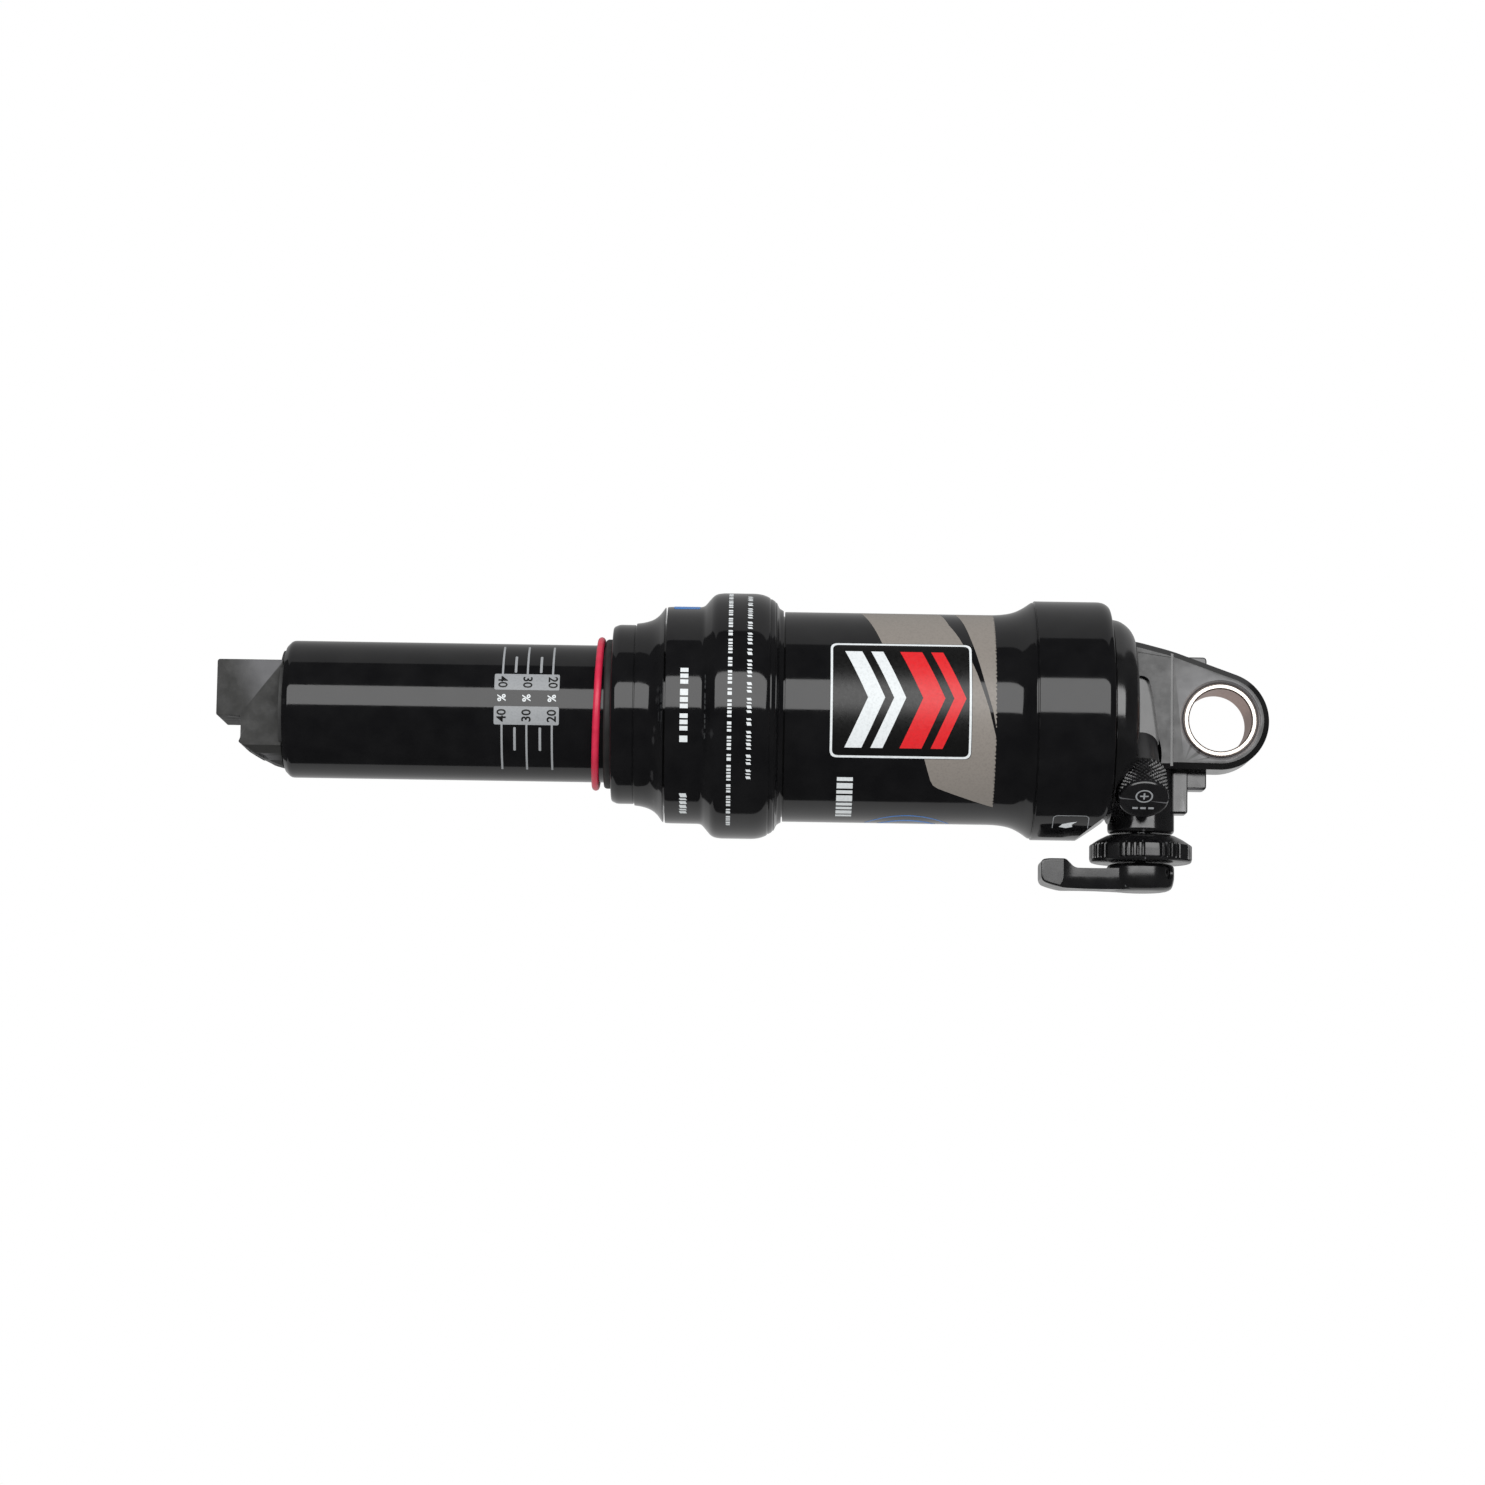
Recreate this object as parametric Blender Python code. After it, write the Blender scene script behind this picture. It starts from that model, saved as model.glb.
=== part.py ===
"""Bicycle rear air shock, as separate pieces.

X runs along the shaft, with the eyelet at the +X end; Z is up; the origin is the
centre of the eyelet. Every size below is in millimetres and turned outlines are
lists of (place along the axis, radius).
"""

import math

import bmesh
import bpy
from mathutils import Vector

MM = 0.001
GAP = 0.3
X_AXIS = Vector((1.0, 0.0, 0.0))
Y_AXIS = Vector((0.0, 1.0, 0.0))
DOWN = Vector((0.0, 0.0, -1.0))
ORIGIN = Vector((0.0, 0.0, 0.0))

# steps round a full turn
BIG_STEPS = 32
MID_STEPS = 24
SMALL_STEPS = 16
TINY_STEPS = 10

# damper body tube and its end fitting
BODY_R = 14.0
BODY_BORE_R = 12.2
BODY_LEFT = -189.9
BODY_RIGHT = -95.5
BLOCK_LEFT = -203.4
BLOCK_TOP = 9.0
TONGUE_BOTTOM = -2.45
BLOCK_ROUND_R = 12.35
BLOCK_HALF_WIDTH = 9.0
BLOCK_BOLT_X = -195.0
BLOCK_BOLT_Y = 5.2
BLOCK_BOLT_R = 2.1
FILL_SCREW_R = 1.6
FILL_SCREW_Z = 3.0

# air can group
WIPER_LEFT = -125.0
COLLAR_LEFT = -123.5
COLLAR_RIGHT = -112.85
SLEEVE_LEFT = -112.5
SLEEVE_RIGHT = -88.9
CAN_LEFT = -112.1
CAN_SHOULDER = -88.6
CAN_RIGHT = -22.6
CAN_BORE_R = 19.0
CAN_NECK_R = 20.5
CAN_R = 21.43
CAN_FLARE_R = 24.4
RUN_R = BODY_R + 0.15

# damper internals
SHAFT_R = 6.35
SHAFT_BORE_R = 3.2
SHAFT_STUD_R = 4.2
SHAFT_SHOULDER = -104.0
SHAFT_LEFT = -116.8
SHAFT_RIGHT = -20.5
STACK_BORE_R = SHAFT_STUD_R + GAP
PORT_COUNT = 6
PORT_R = 1.3
PORT_CIRCLE_R = 8.6

# head
PLUG_LEFT = -30.0
PLUG_R = 18.7
SHOULDER_LEFT = -22.25
SHOULDER_RIGHT = -17.3
LUG_HALF_WIDTH = 6.35
EYELET_R = 10.0
BUSH_R = 7.525
BUSH_BORE_R = 6.35

# adjuster stack under the head, turned about a vertical axis
KNOB_X = -15.3
KNOB_Y = 2.2
BOSS_R = 6.8
BOSS_BOTTOM = 22.8
KNOB_TOP = 23.15
KNOB_R = 10.45
KNOB_BOTTOM = 28.7
LEVER_TOP = 29.05
LEVER_BOTTOM = 34.6
LEVER_HUB_R = 6.9
LEVER_REACH = 20.6
SPINDLE_BORE_R = 2.4
CAM_ROOM_R = 4.2
OUTER_SPINDLE_R = 2.1
OUTER_SPINDLE_BORE_R = 1.4
OUTER_LOBE_R = 3.4
OUTER_LOBE_OFFSET = 0.4
INNER_SPINDLE_R = 1.1
INNER_LOBE_R = 3.0
INNER_LOBE_OFFSET = 0.5

# tyre-type valves
VALVE_X = -16.3
VALVE_TILT = math.radians(50.0)
VALVE_AXIS = Vector((0.0, -math.cos(VALVE_TILT), -math.sin(VALVE_TILT)))
VALVE_POCKET_R = 4.4
VALVE_POCKET_FLOOR = 6.5
CAP_POCKET_R = 5.7
CAP_POCKET_FLOOR = 13.5
VALVE_BASE = 6.8
VALVE_STEM_R = 3.85
VALVE_CAP_R = 5.1
SAG_VALVE_X = -98.5
SAG_BOSS_R = 5.0
SAG_BOSS_TOP = 26.2


def clear_scene():
    for item in list(bpy.data.objects):
        bpy.data.objects.remove(item, do_unlink=True)


def look(name, rgb, roughness, metallic):
    """Make a Principled material."""
    material = bpy.data.materials.new(name)
    material.use_nodes = True
    shader = material.node_tree.nodes["Principled BSDF"]
    shader.inputs["Base Color"].default_value = (*rgb, 1.0)
    shader.inputs["Roughness"].default_value = roughness
    shader.inputs["Metallic"].default_value = metallic
    return material


def guide_empty(name, place, parent=None):
    """Make the empty that stands on a joint's axis, at a place in millimetres."""
    empty = bpy.data.objects.new(name, None)
    bpy.context.collection.objects.link(empty)
    empty.location = Vector(place) * MM
    if parent is not None:
        empty.parent = parent
        empty.location -= parent.location
    return empty


def finish_object(name, mesh, material, parent, place, direction=X_AXIS):
    """Turn a bmesh into a smooth-shaded object at its place along a direction."""
    bmesh.ops.recalc_face_normals(mesh, faces=mesh.faces)
    data = bpy.data.meshes.new(name)
    mesh.to_mesh(data)
    mesh.free()
    data.shade_smooth()
    data.set_sharp_from_angle(angle=math.radians(35.0))
    if material is not None:
        data.materials.append(material)
    item = bpy.data.objects.new(name, data)
    bpy.context.collection.objects.link(item)
    item.location = Vector(place) * MM
    item.rotation_mode = "QUATERNION"
    item.rotation_quaternion = X_AXIS.rotation_difference(direction)
    if parent is not None:
        item.parent = parent
        item.location -= parent.matrix_basis.translation
    return item


def turned(name, outline, material, steps=MID_STEPS, parent=None, place=ORIGIN, direction=X_AXIS):
    """Spin an outline round the axis: a ring, or a solid when both its ends have radius 0."""
    mesh = bmesh.new()
    verts = [mesh.verts.new((along * MM, 0.0, radius * MM)) for along, radius in outline]
    edges = [mesh.edges.new(pair) for pair in zip(verts, verts[1:])]
    if outline[0][1] > 0.0:
        edges.append(mesh.edges.new((verts[-1], verts[0])))
    bmesh.ops.spin(mesh, geom=verts + edges, cent=ORIGIN, axis=X_AXIS, angle=math.tau,
                   steps=steps, use_merge=True)
    bmesh.ops.remove_doubles(mesh, verts=mesh.verts, dist=0.001 * MM)
    return finish_object(name, mesh, material, parent, place, direction)


def rod(name, low, high, radius, material=None, steps=SMALL_STEPS, **where):
    """Plain round bar between two places along its axis."""
    outline = [(low, 0.0), (low, radius), (high, radius), (high, 0.0)]
    return turned(name, outline, material, steps, **where)


def ring(name, low, high, inner, outer, material, steps=MID_STEPS, edge=0.3, **where):
    """Round ring with small chamfers on its outer edges."""
    outline = [(low, inner), (low, outer - edge), (low + edge, outer),
               (high - edge, outer), (high, outer - edge), (high, inner)]
    return turned(name, outline, material, steps, **where)


def extruded(name, outline, low, high, material=None, parent=None):
    """Extrude a closed (X, Z) outline along Y."""
    mesh = bmesh.new()
    verts = [mesh.verts.new((x * MM, low * MM, z * MM)) for x, z in outline]
    face = mesh.faces.new(verts)
    made = bmesh.ops.extrude_face_region(mesh, geom=[face])["geom"]
    moved = [element for element in made if isinstance(element, bmesh.types.BMVert)]
    bmesh.ops.translate(mesh, verts=moved, vec=Vector((0.0, (high - low) * MM, 0.0)))
    return finish_object(name, mesh, material, parent, ORIGIN)


def block(name, low, high):
    """Plain box between two corners."""
    outline = [(low[0], low[2]), (high[0], low[2]), (high[0], high[2]), (low[0], high[2])]
    return extruded(name, outline, low[1], high[1])


def combine(item, tool, operation):
    """Join a tool to an object, or cut it away, and hide the tool."""
    modifier = item.modifiers.new(tool.name, "BOOLEAN")
    modifier.operation = operation
    modifier.solver = "EXACT"
    modifier.object = tool
    tool.hide_render = True
    tool.display_type = "WIRE"


def soften(item, width):
    """Round an object's sharp edges a little."""
    modifier = item.modifiers.new("soft_edges", "BEVEL")
    modifier.width = width * MM
    modifier.segments = 1
    modifier.limit_method = "ANGLE"
    modifier.angle_limit = math.radians(40.0)


def arc(centre, radius, start, end, steps):
    """Points of an arc, from one angle to another in degrees."""
    turn = [math.radians(start + (end - start) * step / steps) for step in range(steps + 1)]
    return [(centre[0] + radius * math.cos(a), centre[1] + radius * math.sin(a)) for a in turn]


def make_damper(mat, damper):
    """The tube that slides in the can, its end fitting and the air piston on its inner end."""
    edge = 1.4
    left = BODY_LEFT
    turned("damper_body", [
        (left, BODY_BORE_R), (left, BODY_R - edge), (left + 0.4, BODY_R - 0.4), (left + edge, BODY_R),
        (BODY_RIGHT, BODY_R), (BODY_RIGHT, BODY_BORE_R),
    ], mat["gloss_black"], BIG_STEPS, damper)

    fitting = extruded("end_mount_block", [
        (-190.2, BLOCK_TOP), (BLOCK_LEFT, BLOCK_TOP), (BLOCK_LEFT, TONGUE_BOTTOM), (-198.4, TONGUE_BOTTOM),
        (-198.4, -6.9), (-198.8, -7.8), (-195.9, -9.6), (-193.2, -11.0), (-190.2, -12.0),
    ], -BLOCK_HALF_WIDTH, BLOCK_HALF_WIDTH, mat["charcoal"], damper)
    lower_corners = block("tool_block_corners", (-200.0, -11.0, -14.0), (-189.0, 11.0, -3.0))
    round_body = rod("tool_block_round", -201.0, -188.0, BLOCK_ROUND_R, steps=BIG_STEPS)
    combine(lower_corners, round_body, "DIFFERENCE")
    combine(fitting, lower_corners, "DIFFERENCE")
    soften(fitting, 0.5)
    plug_r = BODY_BORE_R - GAP
    plug = rod("tool_block_plug", -190.6, -184.0, plug_r, steps=BIG_STEPS, parent=damper)
    combine(fitting, plug, "UNION")
    screw_at = {"parent": damper, "place": (0.0, 0.0, FILL_SCREW_Z)}
    gas_way = rod("tool_gas_way", BLOCK_LEFT - 1.0, -183.0, FILL_SCREW_R + GAP, **screw_at)
    combine(fitting, gas_way, "DIFFERENCE")
    for number, side in enumerate((-1, 1)):
        hole = rod(f"tool_block_bolt_{number}", -15.0, 15.0, BLOCK_BOLT_R, parent=damper,
                   place=(BLOCK_BOLT_X, side * BLOCK_BOLT_Y, 0.0), direction=DOWN)
        combine(fitting, hole, "DIFFERENCE")
    rod("gas_fill_screw", BLOCK_LEFT + 0.8, -196.0, FILL_SCREW_R, mat["steel"], TINY_STEPS, **screw_at)

    turned("air_piston", [
        (-103.0, 8.3), (-103.0, 11.9), (-95.2, 11.9), (-95.2, 18.0), (-94.5, PLUG_R), (-92.6, PLUG_R),
        (-92.6, 16.6), (-88.4, 16.6), (-88.4, PLUG_R), (-84.7, PLUG_R), (-84.0, 18.0), (-84.0, 8.9),
        (-90.0, 8.9), (-90.0, 6.7), (-97.0, 6.7), (-97.0, 8.3),
    ], mat["raw_alloy"], MID_STEPS, damper)
    ring("air_piston_seal", -92.2, -88.8, 16.9, CAN_BORE_R - 0.15, mat["black_rubber"], parent=damper)
    ring("shaft_bush", -102.7, -97.3, SHAFT_R + 0.15, 8.0, mat["bronze"], SMALL_STEPS, parent=damper)
    ring("shaft_seal", -89.7, -85.3, SHAFT_R + 0.15, 8.6, mat["black_rubber"], SMALL_STEPS, parent=damper)


def make_floating_piston(mat, piston):
    """The piston that keeps the oil and the gas apart."""
    outer = BODY_BORE_R - GAP
    turned("floating_piston", [
        (-169.0, 0.0), (-169.0, outer), (-166.6, outer), (-166.6, 10.4), (-163.4, 10.4), (-163.4, outer),
        (-161.0, outer), (-161.0, 8.0), (-164.6, 8.0), (-164.6, 0.0),
    ], mat["raw_alloy"], MID_STEPS, piston)
    ring("floating_piston_seal", -166.3, -163.7, 10.7, BODY_BORE_R - 0.15, mat["black_rubber"],
         parent=piston)


def make_travel_ring(mat, marker):
    """The rubber ring that shows the travel used; it sits slightly askew on the tube."""
    cord_r = 0.75
    middle_r = BODY_R + 0.2 + cord_r
    place = (-126.3, 0.0, 0.0)
    tilt = Vector((math.cos(math.radians(1.6)), 0.0, -math.sin(math.radians(1.6))))
    section = arc((0.0, middle_r), cord_r, 360.0, 0.0, 8)[:-1]
    turned("travel_o_ring", section, mat["red_rubber"], BIG_STEPS, marker, place, tilt)


def make_air_can(mat):
    """The sliding sleeve: collar, wide negative chamber ring, can, and the seals they carry."""
    turned("can_collar", [
        (COLLAR_LEFT, 16.6), (COLLAR_LEFT, 17.6), (-123.1, 18.0), (-122.2, 18.3), (-118.9, 18.3),
        (-118.5, 18.67), (-116.1, 19.1), (-114.9, 19.7), (-113.7, 20.8), (COLLAR_RIGHT, 22.0),
        (COLLAR_RIGHT, PLUG_R), (-106.2, PLUG_R), (-106.2, 14.35), (-106.9, 14.35), (-106.9, 15.5),
        (-114.4, 15.5), (-114.4, 14.35), (-115.4, 14.35), (-115.4, 16.4), (-118.6, 16.4),
        (-118.6, 14.35), (-119.6, 14.35), (-119.6, 16.6),
    ], mat["gloss_black"], BIG_STEPS)
    turned("wiper_seal", [
        (WIPER_LEFT, RUN_R), (WIPER_LEFT, 14.9), (-124.6, 15.25), (-123.8, 15.25), (-123.2, 16.3),
        (-119.9, 16.3), (-119.9, RUN_R),
    ], mat["black_rubber"], BIG_STEPS)
    ring("can_seal", -118.3, -115.7, RUN_R, 16.1, mat["black_rubber"])
    ring("guide_bush", -114.1, -107.2, RUN_R, 15.2, mat["bronze"])
    ring("top_out_bumper", -105.9, -102.9, BODY_R + GAP, 17.8, mat["black_rubber"])

    sleeve = turned("negative_sleeve", [
        (SLEEVE_LEFT, 20.9), (SLEEVE_LEFT, 22.05), (-105.2, 22.2), (-103.9, 23.6), (-102.7, 24.8),
        (-101.5, 25.1), (-95.8, 25.1), (-92.9, 24.9), (-91.6, 24.3), (-90.4, 23.5), (-89.4, 21.8),
        (SLEEVE_RIGHT, 21.7), (SLEEVE_RIGHT, 20.9), (-94.4, 20.9), (-95.6, 23.2), (-101.6, 23.2),
        (-104.4, 20.9),
    ], mat["gloss_black"], BIG_STEPS)
    boss = rod("tool_sag_boss", 24.2, SAG_BOSS_TOP, SAG_BOSS_R, place=(SAG_VALVE_X, 0.0, 0.0),
               direction=Y_AXIS)
    combine(sleeve, boss, "UNION")
    for name, left in (("sleeve_seal_left", -110.7), ("sleeve_seal_right", -93.9)):
        ring(name, left, left + 2.0, 20.05, 20.75, mat["black_rubber"], edge=0.2)

    can = turned("air_can", [
        (CAN_LEFT, CAN_BORE_R), (CAN_LEFT, CAN_NECK_R), (-110.95, CAN_NECK_R), (-110.95, 19.8),
        (-108.45, 19.8), (-108.45, CAN_NECK_R), (-94.15, CAN_NECK_R), (-94.15, 19.8), (-91.65, 19.8),
        (-91.65, CAN_NECK_R), (CAN_SHOULDER, CAN_NECK_R), (CAN_SHOULDER, CAN_R), (-44.1, CAN_R),
        (-42.3, 21.9), (-40.5, 23.0), (-38.9, 23.8), (-37.0, 24.15), (-35.0, CAN_FLARE_R),
        (-24.6, CAN_FLARE_R), (-23.3, 24.1), (CAN_RIGHT, 23.3), (CAN_RIGHT, CAN_BORE_R),
    ], mat["gloss_black"], BIG_STEPS)
    relief = extruded("tool_can_relief", [(-31.0, -25.9), (-20.0, -17.8), (-20.0, -30.0), (-31.0, -30.0)],
                      -20.0, 20.0)
    combine(can, relief, "DIFFERENCE")
    ring("can_head_seal", -28.3, -26.5, 17.3, CAN_BORE_R - 0.15, mat["black_rubber"])
    ring("bottom_out_bumper", -32.9, -30.3, SHAFT_R + GAP, 12.0, mat["black_rubber"], SMALL_STEPS)


def make_shaft(mat):
    """The hollow shaft with the main piston and its shims."""
    turned("damper_shaft", [
        (SHAFT_LEFT, SHAFT_BORE_R), (SHAFT_LEFT, SHAFT_STUD_R), (SHAFT_SHOULDER, SHAFT_STUD_R),
        (SHAFT_SHOULDER, SHAFT_R), (SHAFT_RIGHT, SHAFT_R), (SHAFT_RIGHT, SHAFT_BORE_R),
    ], mat["hard_chrome"], MID_STEPS)
    piston = turned("main_piston", [
        (-112.4, STACK_BORE_R), (-112.4, 11.6), (-111.2, 11.6), (-111.2, 11.0), (-108.1, 11.0),
        (-108.1, 11.6), (-106.9, 11.6), (-106.9, STACK_BORE_R),
    ], mat["raw_alloy"], MID_STEPS)
    for number in range(PORT_COUNT):
        turn = math.tau * number / PORT_COUNT
        place = (0.0, PORT_CIRCLE_R * math.sin(turn), PORT_CIRCLE_R * math.cos(turn))
        port = rod(f"tool_port_{number}", -114.0, -105.0, PORT_R, steps=8, place=place)
        combine(piston, port, "DIFFERENCE")
    ring("piston_band", -110.9, -108.4, 11.3, BODY_BORE_R - 0.15, mat["bronze"], edge=0.2)
    turned("compression_shims", [
        (-106.6, STACK_BORE_R), (-106.6, 10.2), (-106.0, 10.2), (-106.0, 8.8), (-105.4, 8.8),
        (-105.4, 7.2), (-104.4, 7.2), (-104.4, STACK_BORE_R),
    ], mat["steel"], SMALL_STEPS)
    turned("rebound_shims", [
        (-114.5, STACK_BORE_R), (-114.5, 6.8), (-113.9, 6.8), (-113.9, 8.2), (-113.3, 8.2),
        (-113.3, 9.8), (-112.7, 9.8), (-112.7, STACK_BORE_R),
    ], mat["steel"], SMALL_STEPS)
    hexagon_bore_r = STACK_BORE_R / math.cos(math.pi / 6)
    ring("piston_nut", -118.2, -114.8, hexagon_bore_r, 7.4, mat["steel"], steps=6, edge=0.4)


def make_head(mat):
    """The head: plug, shoulder, lug with its eyelet, rear rib and the boss for the adjusters."""
    corner = arc((-20.3, 17.4), 3.0, 85.0, 0.0, 4)
    head = turned("head_body", [
        (PLUG_LEFT, 0.0), (PLUG_LEFT, 18.1), (-29.4, PLUG_R), (-28.6, PLUG_R), (-28.6, 17.0),
        (-26.2, 17.0), (-26.2, PLUG_R), (SHOULDER_LEFT, PLUG_R), (SHOULDER_LEFT, 21.0), *corner,
        (SHOULDER_RIGHT, 0.0),
    ], mat["satin_black"], BIG_STEPS)

    lug = extruded("tool_lug", [
        (-19.5, -9.9), (-19.5, 16.3), (-17.0, 16.0), (-9.8, 14.2),
        *arc((0.0, 0.0), EYELET_R, 70.0, -90.0, 16), (-8.0, -9.9),
    ], -LUG_HALF_WIDTH, LUG_HALF_WIDTH)
    soften(lug, 0.8)
    combine(head, lug, "UNION")
    combine(head, block("tool_rear_rib", (-8.1, 1.0, -13.6), (-2.0, 5.9, 13.8)), "UNION")
    combine(head, block("tool_lower_step", (-11.0, 0.2, -18.6), (-5.9, 5.1, -9.0)), "UNION")
    boss_at = {"place": (KNOB_X, KNOB_Y, 0.0), "direction": DOWN}
    combine(head, rod("tool_boss", 1.0, BOSS_BOTTOM, BOSS_R, steps=MID_STEPS, **boss_at), "UNION")

    pocket = turned("tool_valve_pocket", [
        (VALVE_POCKET_FLOOR, 0.0), (VALVE_POCKET_FLOOR, VALVE_POCKET_R), (CAP_POCKET_FLOOR, VALVE_POCKET_R),
        (CAP_POCKET_FLOOR + 1.3, CAP_POCKET_R), (30.0, CAP_POCKET_R), (30.0, 0.0),
    ], None, MID_STEPS, place=(VALVE_X, 0.0, 0.0), direction=VALVE_AXIS)
    combine(head, pocket, "DIFFERENCE")
    eye = rod("tool_eye", -8.0, 8.0, BUSH_R + GAP, steps=MID_STEPS, direction=Y_AXIS)
    combine(head, eye, "DIFFERENCE")
    shaft_seat = turned("tool_shaft_seat", [
        (PLUG_LEFT - 1.0, 0.0), (PLUG_LEFT - 1.0, SHAFT_R + GAP), (SHAFT_RIGHT + GAP, SHAFT_R + GAP),
        (SHAFT_RIGHT + GAP, SHAFT_BORE_R), (KNOB_X - 1.0, SHAFT_BORE_R), (KNOB_X - 1.0, 0.0),
    ], None, SMALL_STEPS)
    combine(head, shaft_seat, "DIFFERENCE")
    cam_room = turned("tool_cam_room", [
        (-2.4, 0.0), (-2.4, CAM_ROOM_R), (3.5, CAM_ROOM_R), (3.5, SPINDLE_BORE_R), (24.0, SPINDLE_BORE_R),
        (24.0, 0.0),
    ], None, SMALL_STEPS, **boss_at)
    combine(head, cam_room, "DIFFERENCE")
    ball_place = (KNOB_X + 5.0, KNOB_Y, 0.0)
    detent = rod("tool_detent", 18.3, 24.0, 1.1, steps=TINY_STEPS, place=ball_place, direction=DOWN)
    combine(head, detent, "DIFFERENCE")

    ring("eyelet_bush", -LUG_HALF_WIDTH, LUG_HALF_WIDTH, BUSH_BORE_R, BUSH_R, mat["bush_metal"],
         edge=0.15, direction=Y_AXIS)
    ball_r = 0.8
    ball = arc((22.1, 0.0), ball_r, 180.0, 0.0, 6)
    ball[0] = (ball[0][0], 0.0)
    ball[-1] = (ball[-1][0], 0.0)
    turned("detent_ball", ball, mat["steel"], TINY_STEPS, place=ball_place, direction=DOWN)
    make_spring(mat["steel"], ball_place, 18.75, 20.95)


def make_spring(material, place, top, bottom):
    """The small coil that presses the ball into the knob's notches."""
    turns = 4
    per_turn = 10
    coil_r = 0.75
    count = turns * per_turn
    curve = bpy.data.curves.new("detent_spring", "CURVE")
    curve.dimensions = "3D"
    curve.bevel_depth = 0.16 * MM
    curve.bevel_resolution = 0
    curve.use_fill_caps = True
    curve.materials.append(material)
    line = curve.splines.new("POLY")
    line.points.add(count)
    for step, point in enumerate(line.points):
        angle = math.tau * step / per_turn
        down = top + (bottom - top) * step / count
        x = place[0] + coil_r * math.cos(angle)
        y = place[1] + coil_r * math.sin(angle)
        point.co = (x * MM, y * MM, -down * MM, 1.0)
    item = bpy.data.objects.new("detent_spring", curve)
    bpy.context.collection.objects.link(item)


def make_rebound(mat, knob, tube):
    """The ribbed knob, its hollow spindle with an off-centre end, and the tube that it pushes."""
    at = {"parent": knob, "place": (KNOB_X, KNOB_Y, 0.0), "direction": DOWN}
    turned("rebound_knob", [
        (KNOB_TOP, OUTER_SPINDLE_R + GAP), (KNOB_TOP, 7.2), (25.0, KNOB_R - 0.3), (25.4, KNOB_R),
        (28.3, KNOB_R), (KNOB_BOTTOM, KNOB_R - 0.4), (KNOB_BOTTOM, OUTER_SPINDLE_R + GAP),
    ], mat["black_alloy"], BIG_STEPS, **at)
    spindle = rod("rebound_spindle", 2.6, KNOB_BOTTOM, OUTER_SPINDLE_R, mat["steel"], **at)
    lobe = rod("tool_outer_lobe", 2.1, 3.1, OUTER_LOBE_R, parent=knob,
               place=(KNOB_X + OUTER_LOBE_OFFSET, KNOB_Y, 0.0), direction=DOWN)
    combine(spindle, lobe, "UNION")
    combine(spindle, rod("tool_spindle_core", 1.0, 30.0, OUTER_SPINDLE_BORE_R, **at), "DIFFERENCE")
    ring("rebound_tube", -116.0, -18.6, 1.9, 2.9, mat["steel"], TINY_STEPS, 0.2, parent=tube)


def make_lockout(mat, lever, push_rod):
    """The lever with its grub screw, the inner spindle with its lobe, and the rod that it pushes."""
    at = {"parent": lever, "place": (KNOB_X, KNOB_Y, 0.0), "direction": DOWN}
    tip = KNOB_X - LEVER_REACH
    half = 5.2
    handle = turned("lockout_lever", [
        (LEVER_TOP, 0.0), (LEVER_TOP, 6.1), (29.8, LEVER_HUB_R), (33.6, LEVER_HUB_R),
        (LEVER_BOTTOM, 5.9), (LEVER_BOTTOM, 0.0),
    ], mat["black_alloy"], MID_STEPS, **at)
    tab = extruded("tool_lever_tab", [
        (tip, -29.2), (tip + 1.0, -28.3), (-30.6, -28.3), (-27.8, -30.2), (-14.0, -30.2), (-14.0, -34.2),
        (-29.0, -34.2), (tip + 1.6, -33.3), (tip, -32.0),
    ], KNOB_Y - half, KNOB_Y + half, parent=lever)
    combine(handle, tab, "UNION")
    combine(handle, rod("tool_lever_bore", 28.0, 31.5, INNER_SPINDLE_R + GAP, **at), "DIFFERENCE")
    aim = Vector((math.cos(math.radians(36.0)), -math.sin(math.radians(36.0)), 0.0))
    screw_at = {"parent": lever, "place": (KNOB_X, KNOB_Y, -30.7), "direction": aim}
    screw_way = rod("tool_screw_way", 0.5, 8.0, 1.1 + GAP, steps=TINY_STEPS, **screw_at)
    combine(handle, screw_way, "DIFFERENCE")
    ring("lever_screw", 1.7, 6.4, 0.5, 1.1, mat["steel"], TINY_STEPS, 0.2, **screw_at)

    spindle = rod("lockout_spindle", 1.2, 31.2, INNER_SPINDLE_R, mat["steel"], TINY_STEPS, **at)
    lobe = rod("tool_inner_lobe", -1.7, 1.8, INNER_LOBE_R, parent=lever,
               place=(KNOB_X + INNER_LOBE_OFFSET, KNOB_Y, 0.0), direction=DOWN)
    combine(spindle, lobe, "UNION")
    rod("lockout_rod", -117.0, -18.1, 1.5, mat["steel"], TINY_STEPS, parent=push_rod)


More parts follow.
